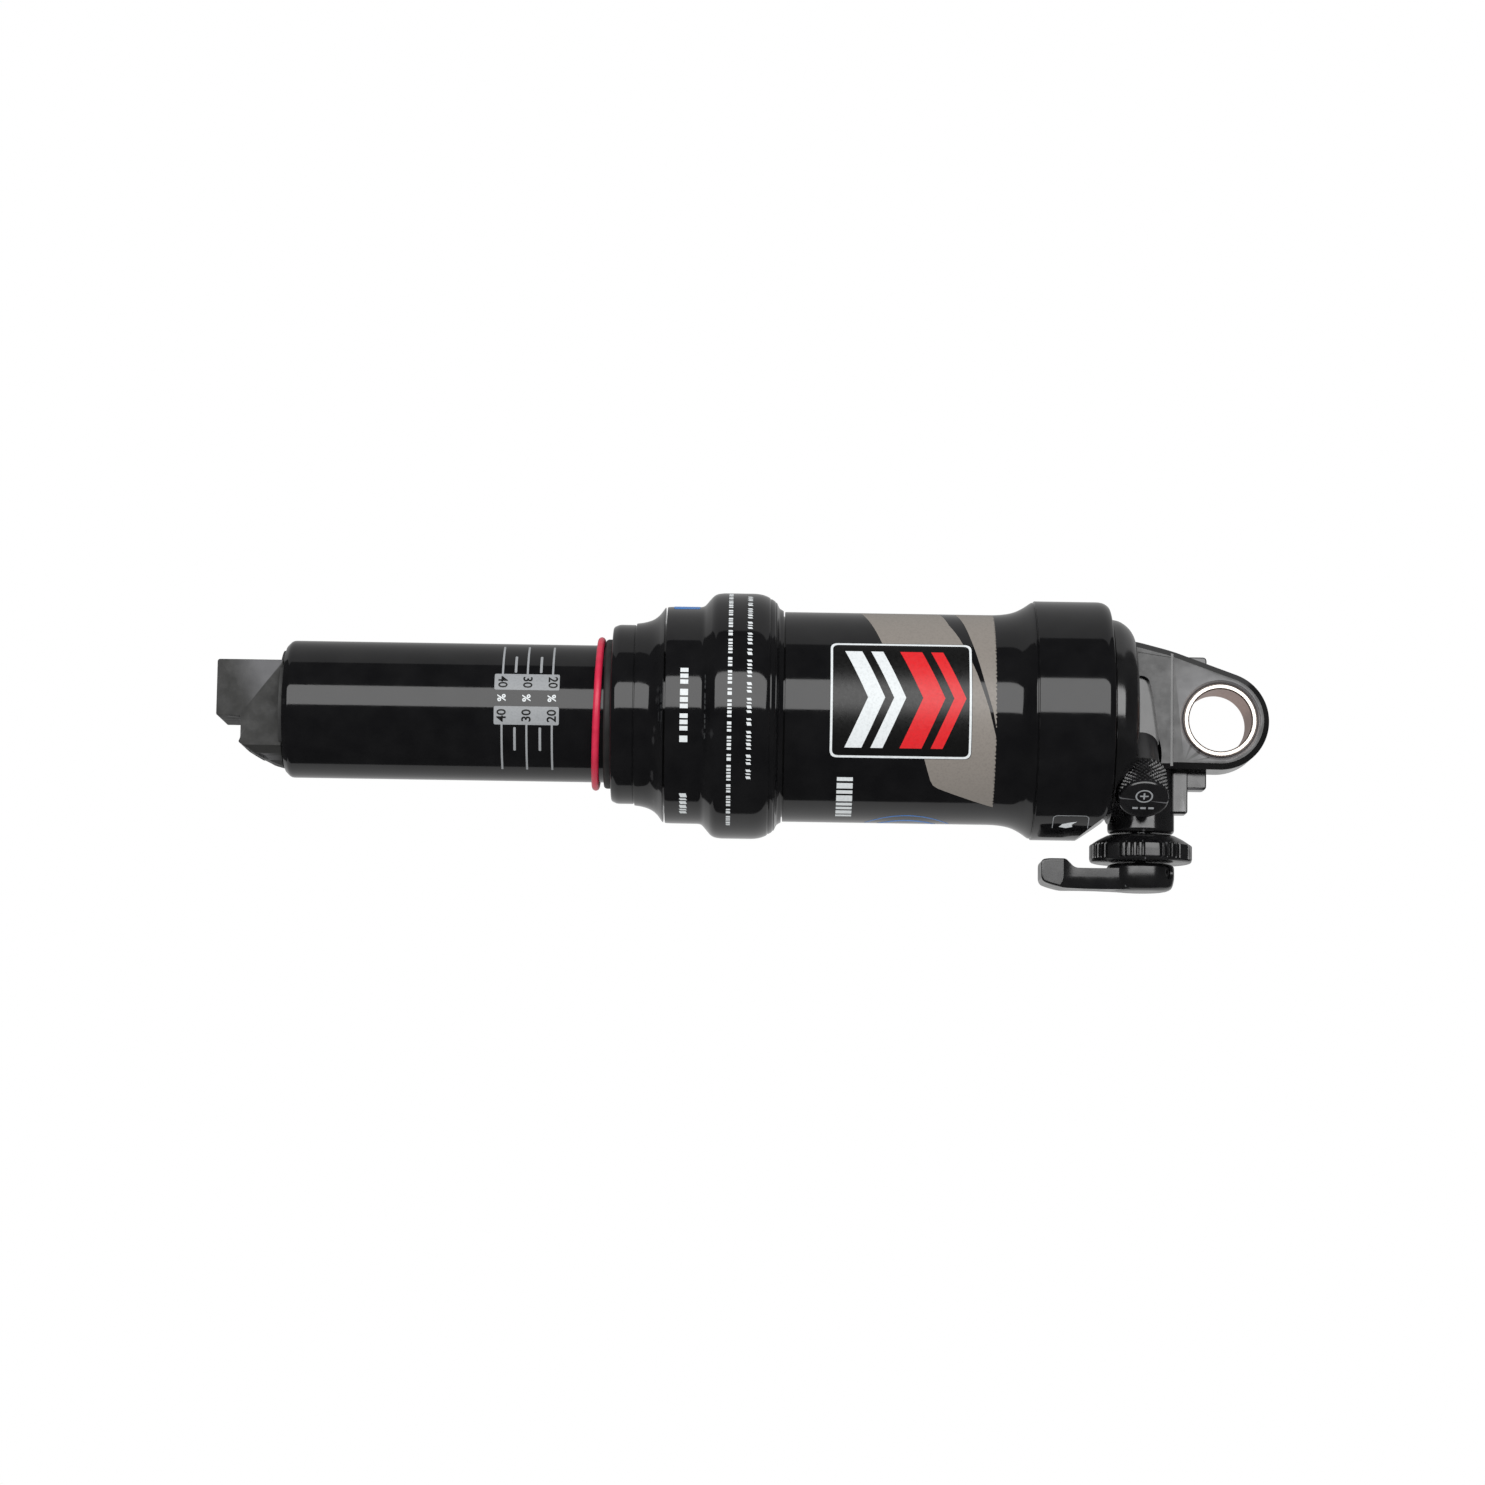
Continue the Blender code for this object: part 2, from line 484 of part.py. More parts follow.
def make_valve(mat, prefix, base, place, direction, cap_parent, pin_parent):
    """A tyre-type valve: stem, core, sprung pin and screw cap, from its base outwards."""
    at = {"place": place, "direction": direction}
    rim = base + 14.2
    bore_r = 2.65
    turned(f"{prefix}_body", [
        (base, 0.0), (base, VALVE_STEM_R), (rim - 0.3, VALVE_STEM_R), (rim, VALVE_STEM_R - 0.3),
        (rim, bore_r), (base + 1.4, bore_r), (base + 1.4, 0.0),
    ], mat["satin_black"], SMALL_STEPS, **at)
    ring(f"{prefix}_core", base + 3.2, rim - 1.4, 1.1, bore_r - GAP, mat["brass"], TINY_STEPS, **at)
    rod(f"{prefix}_pin", base + 2.6, rim - 0.6, 0.8, mat["brass"], 8, parent=pin_parent, **at)
    cap_start = rim - 5.6
    cap_end = rim + 1.8
    turned(f"{prefix}_cap", [
        (cap_end - 1.4, 0.0), (cap_end - 1.4, VALVE_STEM_R + GAP), (cap_start, VALVE_STEM_R + GAP),
        (cap_start, VALVE_CAP_R - 0.2), (cap_start + 0.3, VALVE_CAP_R), (cap_end - 0.8, VALVE_CAP_R),
        (cap_end, VALVE_CAP_R - 0.45), (cap_end, 0.0),
    ], mat["black_alloy"], SMALL_STEPS, parent=cap_parent, **at)


def main():
    clear_scene()
    mat = {
        "gloss_black": look("gloss_black", (0.008, 0.008, 0.009), 0.12, 0.0),
        "satin_black": look("satin_black", (0.02, 0.02, 0.022), 0.35, 0.0),
        "black_alloy": look("black_alloy", (0.012, 0.012, 0.013), 0.25, 0.0),
        "charcoal": look("charcoal", (0.045, 0.045, 0.044), 0.5, 0.2),
        "bush_metal": look("bush_metal", (0.62, 0.47, 0.40), 0.3, 1.0),
        "red_rubber": look("red_rubber", (0.63, 0.02, 0.06), 0.4, 0.0),
        "black_rubber": look("black_rubber", (0.015, 0.015, 0.015), 0.6, 0.0),
        "hard_chrome": look("hard_chrome", (0.7, 0.7, 0.72), 0.08, 1.0),
        "raw_alloy": look("raw_alloy", (0.6, 0.6, 0.62), 0.3, 1.0),
        "steel": look("steel", (0.5, 0.5, 0.5), 0.3, 1.0),
        "bronze": look("bronze", (0.45, 0.28, 0.14), 0.4, 1.0),
        "brass": look("brass", (0.7, 0.52, 0.2), 0.25, 1.0),
    }
    damper = guide_empty("damper_axis", ORIGIN)
    piston = guide_empty("floating_piston_axis", ORIGIN, damper)
    marker = guide_empty("travel_ring_axis", ORIGIN, damper)
    knob = guide_empty("rebound_knob_axis", (KNOB_X, KNOB_Y, 0.0))
    lever = guide_empty("lockout_lever_axis", (KNOB_X, KNOB_Y, 0.0))
    tube = guide_empty("rebound_tube_axis", ORIGIN)
    push_rod = guide_empty("lockout_rod_axis", ORIGIN)
    air_place = (VALVE_X, 0.0, 0.0)
    sag_place = (SAG_VALVE_X, 0.0, 0.0)
    air_cap = guide_empty("air_valve_cap_axis", air_place)
    air_pin = guide_empty("air_valve_pin_axis", air_place)
    sag_cap = guide_empty("sag_valve_cap_axis", sag_place)
    sag_pin = guide_empty("sag_valve_pin_axis", sag_place)

    make_damper(mat, damper)
    make_floating_piston(mat, piston)
    make_travel_ring(mat, marker)
    make_air_can(mat)
    make_shaft(mat)
    make_head(mat)
    make_rebound(mat, knob, tube)
    make_lockout(mat, lever, push_rod)
    make_valve(mat, "air_valve", VALVE_BASE, air_place, VALVE_AXIS, air_cap, air_pin)
    make_valve(mat, "sag_valve", SAG_BOSS_TOP + GAP, sag_place, Y_AXIS, sag_cap, sag_pin)


main()
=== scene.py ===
"""Looks of the rear air shock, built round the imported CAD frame.

Sizes are in millimetres unless a name says otherwise. X runs along the shaft, the
eyelet is at the +X end, Z is up and -Y is the printed side.
"""

import math

import bmesh
import bpy
from mathutils import Matrix, Quaternion, Vector


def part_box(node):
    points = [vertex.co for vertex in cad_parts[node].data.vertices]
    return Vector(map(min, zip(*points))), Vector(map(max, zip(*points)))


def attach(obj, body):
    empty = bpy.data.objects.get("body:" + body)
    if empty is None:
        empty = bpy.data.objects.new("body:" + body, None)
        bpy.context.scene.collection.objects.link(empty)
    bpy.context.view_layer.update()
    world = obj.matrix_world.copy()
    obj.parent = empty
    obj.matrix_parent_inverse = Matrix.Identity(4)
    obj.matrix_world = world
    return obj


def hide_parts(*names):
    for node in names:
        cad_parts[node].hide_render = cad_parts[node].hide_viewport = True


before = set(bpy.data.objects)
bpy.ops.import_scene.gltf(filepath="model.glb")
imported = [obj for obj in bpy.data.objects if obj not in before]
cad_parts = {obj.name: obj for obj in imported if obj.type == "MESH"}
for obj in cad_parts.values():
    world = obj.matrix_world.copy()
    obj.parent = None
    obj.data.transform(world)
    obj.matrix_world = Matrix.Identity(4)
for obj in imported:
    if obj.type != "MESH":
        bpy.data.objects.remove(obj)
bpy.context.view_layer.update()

MM = 0.001
X_AXIS = Vector((1.0, 0.0, 0.0))
Y_AXIS = Vector((0.0, 1.0, 0.0))
DOWN = Vector((0.0, 0.0, -1.0))
ORIGIN = Vector((0.0, 0.0, 0.0))
FINE_STEPS = 192
MID_STEPS = 96
SMALL_STEPS = 48
SHARP_ANGLE = math.radians(24.0)
VIEW_DROP = math.radians(6.3)
VIEW_ROLL = math.radians(0.9)
VIEW_TARGET = Vector((-96.9, 0.0, -5.4)) * MM
VIEW_DISTANCE = 850.0 * MM
FLOOR_DROP = 1300.0 * MM


def low_of(node):
    """Lowest corner of a CAD node, in millimetres."""
    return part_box(node)[0] / MM


def high_of(node):
    """Highest corner of a CAD node, in millimetres."""
    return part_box(node)[1] / MM


# places and sizes, read from the CAD frame where it gives them
BODY_R = high_of("damper_body").z
BODY_LEFT = low_of("damper_body").x
BODY_RIGHT = -95.5
BODY_BORE_R = 12.2
BLOCK_LEFT = low_of("end_mount_block").x
BLOCK_RIGHT = -190.2
BLOCK_TOP = 9.0
BLOCK_HALF_WIDTH = 9.0
TONGUE_BOTTOM = -2.45
BLOCK_BOLTS = [Vector((-195.0, y, 0.0)) for y in (-5.2, 5.2)]
BLOCK_BOLT_R = 2.1
GAS_WAY = Vector((0.0, 0.0, 3.0))
COLLAR_LEFT = low_of("can_collar").x
SLEEVE_LEFT = low_of("negative_sleeve").x
CAN_RIGHT = high_of("air_can").x
CAN_R = 21.43
CAN_FLARE_R = high_of("air_can").z
SHOULDER_LEFT = -22.25
SHOULDER_RIGHT = -17.3
EYELET_R = high_of("head_body").x
BUSH_R = high_of("eyelet_bush").x
BUSH_BORE_R = 6.35
LUG_HALF_WIDTH = high_of("eyelet_bush").y
knob_low, knob_high = low_of("rebound_knob"), high_of("rebound_knob")
KNOB_AXIS = Vector(((knob_low.x + knob_high.x) / 2, (knob_low.y + knob_high.y) / 2, 0.0))
KNOB_R = (knob_high.x - knob_low.x) / 2
KNOB_TOP = -knob_high.z
KNOB_BOTTOM = -knob_low.z
SPINDLE_WAY_R = 2.4
LEVER_BOTTOM = -low_of("lockout_lever").z
LEVER_TIP = low_of("lockout_lever").x
VALVE_X = (low_of("air_valve_cap").x + high_of("air_valve_cap").x) / 2
VALVE_TILT = math.radians(50.0)
VALVE_AXIS = Vector((0.0, -math.cos(VALVE_TILT), -math.sin(VALVE_TILT)))
VALVE_BASE = 6.8
VALVE_PLACE = Vector((VALVE_X, 0.0, 0.0))
SAG_VALVE_X = (low_of("sag_valve_cap").x + high_of("sag_valve_cap").x) / 2
SAG_VALVE_PLACE = Vector((SAG_VALVE_X, 0.0, 0.0))
SAG_BOSS_TOP = high_of("negative_sleeve").y
STEM_R = 3.85
CAP_R = 5.1


# ---------------------------------------------------------------- mesh helpers

def rounded(points, steps=5):
    """Points of an outline; a third number on a point rounds that corner by about that much."""
    made = []
    count = len(points)
    for index, point in enumerate(points):
        corner = Vector(point[:2])
        size = point[2] if len(point) > 2 else 0.0
        if size == 0.0:
            made.append(tuple(corner))
            continue
        before = Vector(points[index - 1][:2]) - corner
        after = Vector(points[(index + 1) % count][:2]) - corner
        start = corner + before.normalized() * min(size, before.length * 0.49)
        end = corner + after.normalized() * min(size, after.length * 0.49)
        for step in range(steps + 1):
            t = step / steps
            made.append(tuple(start * (1 - t) ** 2 + corner * 2 * t * (1 - t) + end * t ** 2))
    return made


def arc(centre, radius, start, end, steps):
    """Points of an arc, from one angle to another in degrees."""
    turn = [math.radians(start + (end - start) * step / steps) for step in range(steps + 1)]
    return [(centre[0] + radius * math.cos(a), centre[1] + radius * math.sin(a)) for a in turn]


def object_from(name, mesh, place=ORIGIN, direction=X_AXIS):
    """Object from a bmesh, moved to its place; its vertices are in millimetres until show()."""
    turn = X_AXIS.rotation_difference(direction).to_matrix().to_4x4()
    mesh.transform(Matrix.Translation(place) @ turn)
    bmesh.ops.recalc_face_normals(mesh, faces=mesh.faces)
    data = bpy.data.meshes.new(name)
    mesh.to_mesh(data)
    mesh.free()
    data.shade_smooth()
    data.set_sharp_from_angle(angle=SHARP_ANGLE)
    item = bpy.data.objects.new(name, data)
    bpy.context.scene.collection.objects.link(item)
    return item


def turned(name, points, steps=FINE_STEPS, place=ORIGIN, direction=X_AXIS):
    """Spin an outline of (along, radius) points: a ring, or a solid when both ends have radius 0."""
    outline = rounded(points)
    mesh = bmesh.new()
    verts = [mesh.verts.new((along, 0.0, radius)) for along, radius in outline]
    edges = [mesh.edges.new(pair) for pair in zip(verts, verts[1:])]
    if outline[0][1] > 0.0:
        edges.append(mesh.edges.new((verts[-1], verts[0])))
    bmesh.ops.spin(mesh, geom=verts + edges, cent=ORIGIN, axis=X_AXIS, angle=math.tau,
                   steps=steps, use_merge=True)
    bmesh.ops.remove_doubles(mesh, verts=mesh.verts, dist=0.0005)
    return object_from(name, mesh, place, direction)


def rod(name, low, high, radius, steps=MID_STEPS, place=ORIGIN, direction=X_AXIS):
    """Plain round tool for joining and cutting."""
    return turned(name, [(low, 0.0), (low, radius), (high, radius), (high, 0.0)], steps, place, direction)


def prism(name, points, low, high, edge=0.0, segments=3):
    """Extrude an (X, Z) outline along Y and round the edges of both its faces."""
    outline = rounded(points, 6)
    mesh = bmesh.new()
    rims = [[mesh.verts.new((x, y, z)) for x, z in outline] for y in (low, high)]
    for rim in rims:
        mesh.faces.new(rim)
    for step in range(len(outline)):
        after = (step + 1) % len(outline)
        mesh.faces.new((rims[0][step], rims[0][after], rims[1][after], rims[1][step]))
    bmesh.ops.recalc_face_normals(mesh, faces=mesh.faces)
    if edge > 0.0:
        ends = [e for e in mesh.edges if abs(e.verts[0].co.y - e.verts[1].co.y) < 0.01]
        bmesh.ops.bevel(mesh, geom=ends, offset=edge, segments=segments, profile=0.6,
                        affect="EDGES", clamp_overlap=True)
    return object_from(name, mesh)


def combine(item, tool, operation="UNION"):
    """Join a tool to a piece, or cut it away, and remove the tool."""
    modifier = item.modifiers.new("combine", "BOOLEAN")
    modifier.operation = operation
    modifier.solver = "MANIFOLD"
    modifier.object = tool
    settle(item)
    bpy.data.objects.remove(tool, do_unlink=True)


def settle(item):
    """Apply a piece's modifiers to its mesh."""
    graph = bpy.context.evaluated_depsgraph_get()
    data = bpy.data.meshes.new_from_object(item.evaluated_get(graph))
    item.modifiers.clear()
    item.data = data
    data.shade_smooth()
    data.set_sharp_from_angle(angle=SHARP_ANGLE)


def show(item, body, look, *nodes, slot=None):
    """Put a finished piece on its body, in metres and with its material, in place of its CAD nodes."""
    item.modifiers.new("even_normals", "WEIGHTED_NORMAL").keep_sharp = True
    item.data.transform(Matrix.Scale(MM, 4))
    item.data.materials.clear()
    item.data.materials.append(looks[look])
    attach(item, body)
    if nodes:
        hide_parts(*nodes)
    return item


# ---------------------------------------------------------------- materials

def new_material(name, roughness, metallic=0.0, specular=0.5):
    """Principled material and the parts of it that the other helpers link to."""
    material = bpy.data.materials.new(name)
    material.use_nodes = True
    shader = material.node_tree.nodes["Principled BSDF"]
    shader.inputs["Roughness"].default_value = roughness
    shader.inputs["Metallic"].default_value = metallic
    shader.inputs["Specular IOR Level"].default_value = specular
    return material, material.node_tree, shader


def noise(tree, scale, detail=3.0, stretch=(1.0, 1.0, 1.0)):
    """Noise over the piece's own coordinates, which are metres."""
    place = tree.nodes.new("ShaderNodeTexCoord")
    mapping = tree.nodes.new("ShaderNodeMapping")
    mapping.inputs["Scale"].default_value = stretch
    texture = tree.nodes.new("ShaderNodeTexNoise")
    texture.inputs["Scale"].default_value = scale
    texture.inputs["Detail"].default_value = detail
    texture.inputs["Roughness"].default_value = 0.55
    tree.links.new(place.outputs["Object"], mapping.inputs["Vector"])
    tree.links.new(mapping.outputs["Vector"], texture.inputs["Vector"])
    return texture.outputs["Fac"]


def ramp(tree, source, stops):
    """Colour ramp from (position, colour) stops."""
    item = tree.nodes.new("ShaderNodeValToRGB")
    elements = item.color_ramp.elements
    for index, (position, colour) in enumerate(stops):
        element = elements[index] if index < 2 else elements.new(position)
        element.position = position
        element.color = (*colour, 1.0)
    tree.links.new(source, item.inputs["Fac"])
    return item.outputs["Color"]


def spread(tree, source, low, high):
    """Map a 0 to 1 value to a range."""
    item = tree.nodes.new("ShaderNodeMapRange")
    item.inputs["From Min"].default_value = 0.3
    item.inputs["From Max"].default_value = 0.7
    item.inputs["To Min"].default_value = low
    item.inputs["To Max"].default_value = high
    tree.links.new(source, item.inputs["Value"])
    return item.outputs["Result"]


def mix(tree, factor, first, second):
    """Mix two colours, each a socket or a colour."""
    item = tree.nodes.new("ShaderNodeMix")
    item.data_type = "RGBA"
    tree.links.new(factor, item.inputs[0])
    for source, socket in ((first, item.inputs[6]), (second, item.inputs[7])):
        if isinstance(source, bpy.types.NodeSocket):
            tree.links.new(source, socket)
        else:
            socket.default_value = (*source, 1.0)
    return item.outputs[2]


def worn_edges(tree, low, high):
    """Where the surface is convex enough to have rubbed."""
    geometry = tree.nodes.new("ShaderNodeNewGeometry")
    item = tree.nodes.new("ShaderNodeMapRange")
    item.inputs["From Min"].default_value = low
    item.inputs["From Max"].default_value = high
    tree.links.new(geometry.outputs["Pointiness"], item.inputs["Value"])
    return item.outputs["Result"]


def bump(tree, shader, layers):
    """Chain of bumps from (height socket, strength, depth in millimetres)."""
    last = None
    for height, strength, depth in layers:
        item = tree.nodes.new("ShaderNodeBump")
        item.inputs["Strength"].default_value = strength
        item.inputs["Distance"].default_value = depth * MM
        tree.links.new(height, item.inputs["Height"])
        if last is not None:
            tree.links.new(last, item.inputs["Normal"])
        last = item.outputs["Normal"]
    tree.links.new(last, shader.inputs["Normal"])


def anodised(name, dark, light, roughness, grain, edge=(0.10, 0.10, 0.105), specular=0.5):
    """Black anodised aluminium: faint cloudiness, fine grain and rubbed edges."""
    material, tree, shader = new_material(name, roughness, specular=specular)
    cloud = ramp(tree, noise(tree, 160.0), [(0.35, dark), (0.7, light)])
    rubbed = worn_edges(tree, 0.56, 0.68)
    tree.links.new(mix(tree, rubbed, cloud, edge), shader.inputs["Base Color"])
    patch = noise(tree, 420.0, 4.0)
    tree.links.new(spread(tree, patch, roughness * 0.8, roughness * 1.25), shader.inputs["Roughness"])
    fine, coarse = noise(tree, 9000.0, 2.0), noise(tree, 900.0, 2.0)
    bump(tree, shader, [(fine, grain, 0.01), (coarse, grain * 0.5, 0.01)])
    return material


def bare_metal(name, dark, light, roughness, grain, stretch=(1.0, 1.0, 1.0)):
    """Turned or ground metal with fine marks stretched one way."""
    material, tree, shader = new_material(name, roughness, 1.0)
    cloud = ramp(tree, noise(tree, 300.0, 3.0, stretch), [(0.3, dark), (0.7, light)])
    tree.links.new(cloud, shader.inputs["Base Color"])
    marks = noise(tree, 4000.0, 2.0, stretch)
    tree.links.new(spread(tree, marks, roughness * 0.75, roughness * 1.3), shader.inputs["Roughness"])
    bump(tree, shader, [(marks, grain, 0.01)])
    return material


def size_along_y(tree, output):
    """Absolute Y of a texture coordinate: of the Normal it is 1 on faces that look along Y."""
    place = tree.nodes.new("ShaderNodeTexCoord")
    parts = tree.nodes.new("ShaderNodeSeparateXYZ")
    tree.links.new(place.outputs[output], parts.inputs["Vector"])
    item = tree.nodes.new("ShaderNodeMath")
    item.operation = "ABSOLUTE"
    tree.links.new(parts.outputs["Y"], item.inputs[0])
    return item.outputs["Value"]


def times(tree, first, second):
    """Product of two values."""
    item = tree.nodes.new("ShaderNodeMath")
    item.operation = "MULTIPLY"
    tree.links.new(first, item.inputs[0])
    tree.links.new(second, item.inputs[1])
    return item.outputs["Value"]


def bush_metal(name):
    """Bush with bright turned end faces and a bronze-coloured, duller bore."""
    material, tree, shader = new_material(name, 0.3, 1.0)
    facing = size_along_y(tree, "Normal")
    grain = noise(tree, 1500.0, 3.0)
    bright = ramp(tree, grain, [(0.3, (0.74, 0.67, 0.61)), (0.7, (0.80, 0.74, 0.69))])
    bronze = ramp(tree, grain, [(0.3, (0.30, 0.17, 0.13)), (0.7, (0.37, 0.215, 0.17))])
    tree.links.new(mix(tree, facing, bronze, bright), shader.inputs["Base Color"])
    tree.links.new(spread(tree, noise(tree, 3000.0, 2.0), 0.26, 0.42), shader.inputs["Roughness"])
    bump(tree, shader, [(noise(tree, 4000.0, 2.0, (1.0, 8.0, 1.0)), 0.08, 0.01)])
    return material


def head_finish(name):
    """Head casting: glossy black, with satin flats on the two faces of the lug."""
    material = anodised(name, (0.004, 0.004, 0.0045), (0.009, 0.009, 0.0095), 0.36, 0.03, specular=1.0)
    tree = material.node_tree
    shader = tree.nodes["Principled BSDF"]
    satin = shader.inputs["Roughness"].links[0].from_socket
    outer = tree.nodes.new("ShaderNodeMath")
    outer.operation = "COMPARE"
    outer.inputs[1].default_value = LUG_HALF_WIDTH * MM
    outer.inputs[2].default_value = 0.5 * MM
    tree.links.new(size_along_y(tree, "Object"), outer.inputs[0])
    flat = times(tree, size_along_y(tree, "Normal"), outer.outputs["Value"])
    gloss = tree.nodes.new("ShaderNodeMapRange")
    gloss.inputs["From Min"].default_value = 0.990
    gloss.inputs["From Max"].default_value = 0.998
    gloss.inputs["To Min"].default_value = 0.42
    gloss.inputs["To Max"].default_value = 1.0
    tree.links.new(flat, gloss.inputs["Value"])
    tree.links.new(times(tree, satin, gloss.outputs["Result"]), shader.inputs["Roughness"])
    return material


def rubber(name, dark, light, roughness):
    """Moulded rubber with a soft mottled skin."""
    material, tree, shader = new_material(name, roughness)
    cloud = ramp(tree, noise(tree, 500.0, 4.0), [(0.3, dark), (0.75, light)])
    tree.links.new(cloud, shader.inputs["Base Color"])
    skin = noise(tree, 5000.0, 3.0)
    tree.links.new(spread(tree, skin, roughness * 0.85, roughness * 1.2), shader.inputs["Roughness"])
    bump(tree, shader, [(skin, 0.25, 0.02)])
    return material


def ink(name, colour, roughness=0.45):
    """Pad-printed ink with slightly uneven cover."""
    material, tree, shader = new_material(name, roughness)
    thin = tuple(channel * 0.86 for channel in colour)
    cover = ramp(tree, noise(tree, 2500.0, 3.0), [(0.3, thin), (0.55, colour)])
    tree.links.new(cover, shader.inputs["Base Color"])
    patch = noise(tree, 1500.0, 2.0)
    tree.links.new(spread(tree, patch, roughness * 0.85, roughness * 1.15), shader.inputs["Roughness"])
    return material


looks = {
    "gloss_black": anodised("gloss_black", (0.0035, 0.0035, 0.004), (0.006, 0.006, 0.0065), 0.075, 0.012,
                            (0.02, 0.02, 0.021)),
    "satin_black": anodised("satin_black", (0.012, 0.012, 0.013), (0.020, 0.020, 0.021), 0.34, 0.10,
                            specular=0.95),
    "black_alloy": anodised("black_alloy", (0.004, 0.004, 0.0045), (0.009, 0.009, 0.0095), 0.20, 0.02,
                            specular=0.8),
    "head_casting": head_finish("head_casting"),
    "charcoal": anodised("charcoal", (0.019, 0.019, 0.018), (0.023, 0.023, 0.022), 0.6, 0.22),
    "bush_metal": bush_metal("bush_metal"),
    "red_rubber": rubber("red_rubber", (0.44, 0.010, 0.038), (0.58, 0.018, 0.062), 0.34),
    "black_rubber": rubber("black_rubber", (0.012, 0.012, 0.012), (0.022, 0.022, 0.022), 0.55),
    "hard_chrome": bare_metal("hard_chrome", (0.62, 0.62, 0.64), (0.74, 0.74, 0.76), 0.08, 0.02),
    "raw_alloy": bare_metal("raw_alloy", (0.50, 0.50, 0.52), (0.68, 0.68, 0.70), 0.32, 0.08,
                            (6.0, 1.0, 1.0)),
    "steel": bare_metal("steel", (0.36, 0.36, 0.37), (0.55, 0.55, 0.56), 0.30, 0.08),
    "bronze": bare_metal("bronze", (0.35, 0.20, 0.10), (0.52, 0.33, 0.17), 0.42, 0.10),
    "brass": bare_metal("brass", (0.58, 0.40, 0.14), (0.76, 0.57, 0.25), 0.26, 0.05),
    "white_ink": ink("white_ink", (0.60, 0.63, 0.64)),
    "silver_ink": ink("silver_ink", (0.25, 0.26, 0.27), 0.5),
    "taupe_ink": ink("taupe_ink", (0.20, 0.18, 0.16), 0.42),
    "red_ink": ink("red_ink", (0.58, 0.004, 0.008), 0.4),
    "blue_ink": ink("blue_ink", (0.02, 0.16, 0.48), 0.4),
    "black_ink": ink("black_ink", (0.004, 0.004, 0.004), 0.3),
}


# ---------------------------------------------------------------- damper side

def make_damper_body():
    """Polished tube with a double chamfer at its left end."""
    left = BODY_LEFT
    tube = turned("body_tube", [
        (left, BODY_BORE_R), (left, BODY_R - 1.1, 0.15), (left + 0.35, BODY_R - 0.75, 0.3),
        (left + 1.1, BODY_R, 0.7), (BODY_RIGHT, BODY_R, 0.3), (BODY_RIGHT, BODY_BORE_R),
    ])
    show(tube, "damper", "gloss_black", "damper_body")


def make_end_block():
    """Forged end fitting: tongue, step and slanted underside, with two bolt holes and the gas way."""
    fitting = prism("end_block", [
        (BLOCK_RIGHT, BLOCK_TOP, 0.1), (BLOCK_LEFT, BLOCK_TOP, 0.6), (BLOCK_LEFT, TONGUE_BOTTOM, 0.4),
        (-198.4, TONGUE_BOTTOM, 0.3), (-198.4, -6.9, 0.3), (-198.8, -7.8, 0.3), (-195.9, -9.6, 1.5),
        (-193.2, -11.0, 1.5), (BLOCK_RIGHT, -12.0),
    ], -BLOCK_HALF_WIDTH, BLOCK_HALF_WIDTH, 0.45)
    corners = prism("tool", [(-200.0, -14.0), (-189.0, -14.0), (-189.0, -3.0), (-200.0, -3.0)], -11.0, 11.0)
    combine(corners, rod("tool_round", -201.0, -188.0, 12.3, FINE_STEPS), "DIFFERENCE")
    combine(fitting, corners, "DIFFERENCE")
    plug = rod("tool", BLOCK_RIGHT - 0.4, -184.0, BODY_BORE_R - 0.3, FINE_STEPS)
    combine(fitting, plug)
    for bolt in BLOCK_BOLTS:
        combine(fitting, rod("tool", -15.0, 14.0, BLOCK_BOLT_R, SMALL_STEPS, bolt, DOWN), "DIFFERENCE")
        mouth = turned("tool", [(-10.0, 0.0), (-10.0, 3.4), (-8.6, 2.0), (-8.6, 0.0)], SMALL_STEPS,
                       bolt, DOWN)
        combine(fitting, mouth, "DIFFERENCE")
    gas_way = rod("tool", BLOCK_LEFT - 1.0, -183.0, 1.9, SMALL_STEPS, GAS_WAY)
    combine(fitting, gas_way, "DIFFERENCE")
    show(fitting, "damper", "charcoal", "end_mount_block")

    screw = rod("charge_screw", BLOCK_LEFT + 0.8, -196.0, 1.6, SMALL_STEPS, GAS_WAY)
    socket = rod("tool", BLOCK_LEFT, BLOCK_LEFT + 2.2, 0.85, 6, GAS_WAY)
    combine(screw, socket, "DIFFERENCE")
    show(screw, "damper", "steel", "gas_fill_screw")


def make_travel_ring():
    """Marker ring that sits a little askew on the tube, against the wiper."""
    cord_r = 0.75
    tilt = math.radians(1.6)
    section = arc((0.0, BODY_R + 0.2 + cord_r), cord_r, 360.0, 0.0, 24)[:-1]
    marker = turned("travel_ring", section, FINE_STEPS, Vector((-126.3, 0.0, 0.0)),
                    Vector((math.cos(tilt), 0.0, -math.sin(tilt))))
    show(marker, "travel_ring", "red_rubber", "travel_o_ring")


# ---------------------------------------------------------------- can side

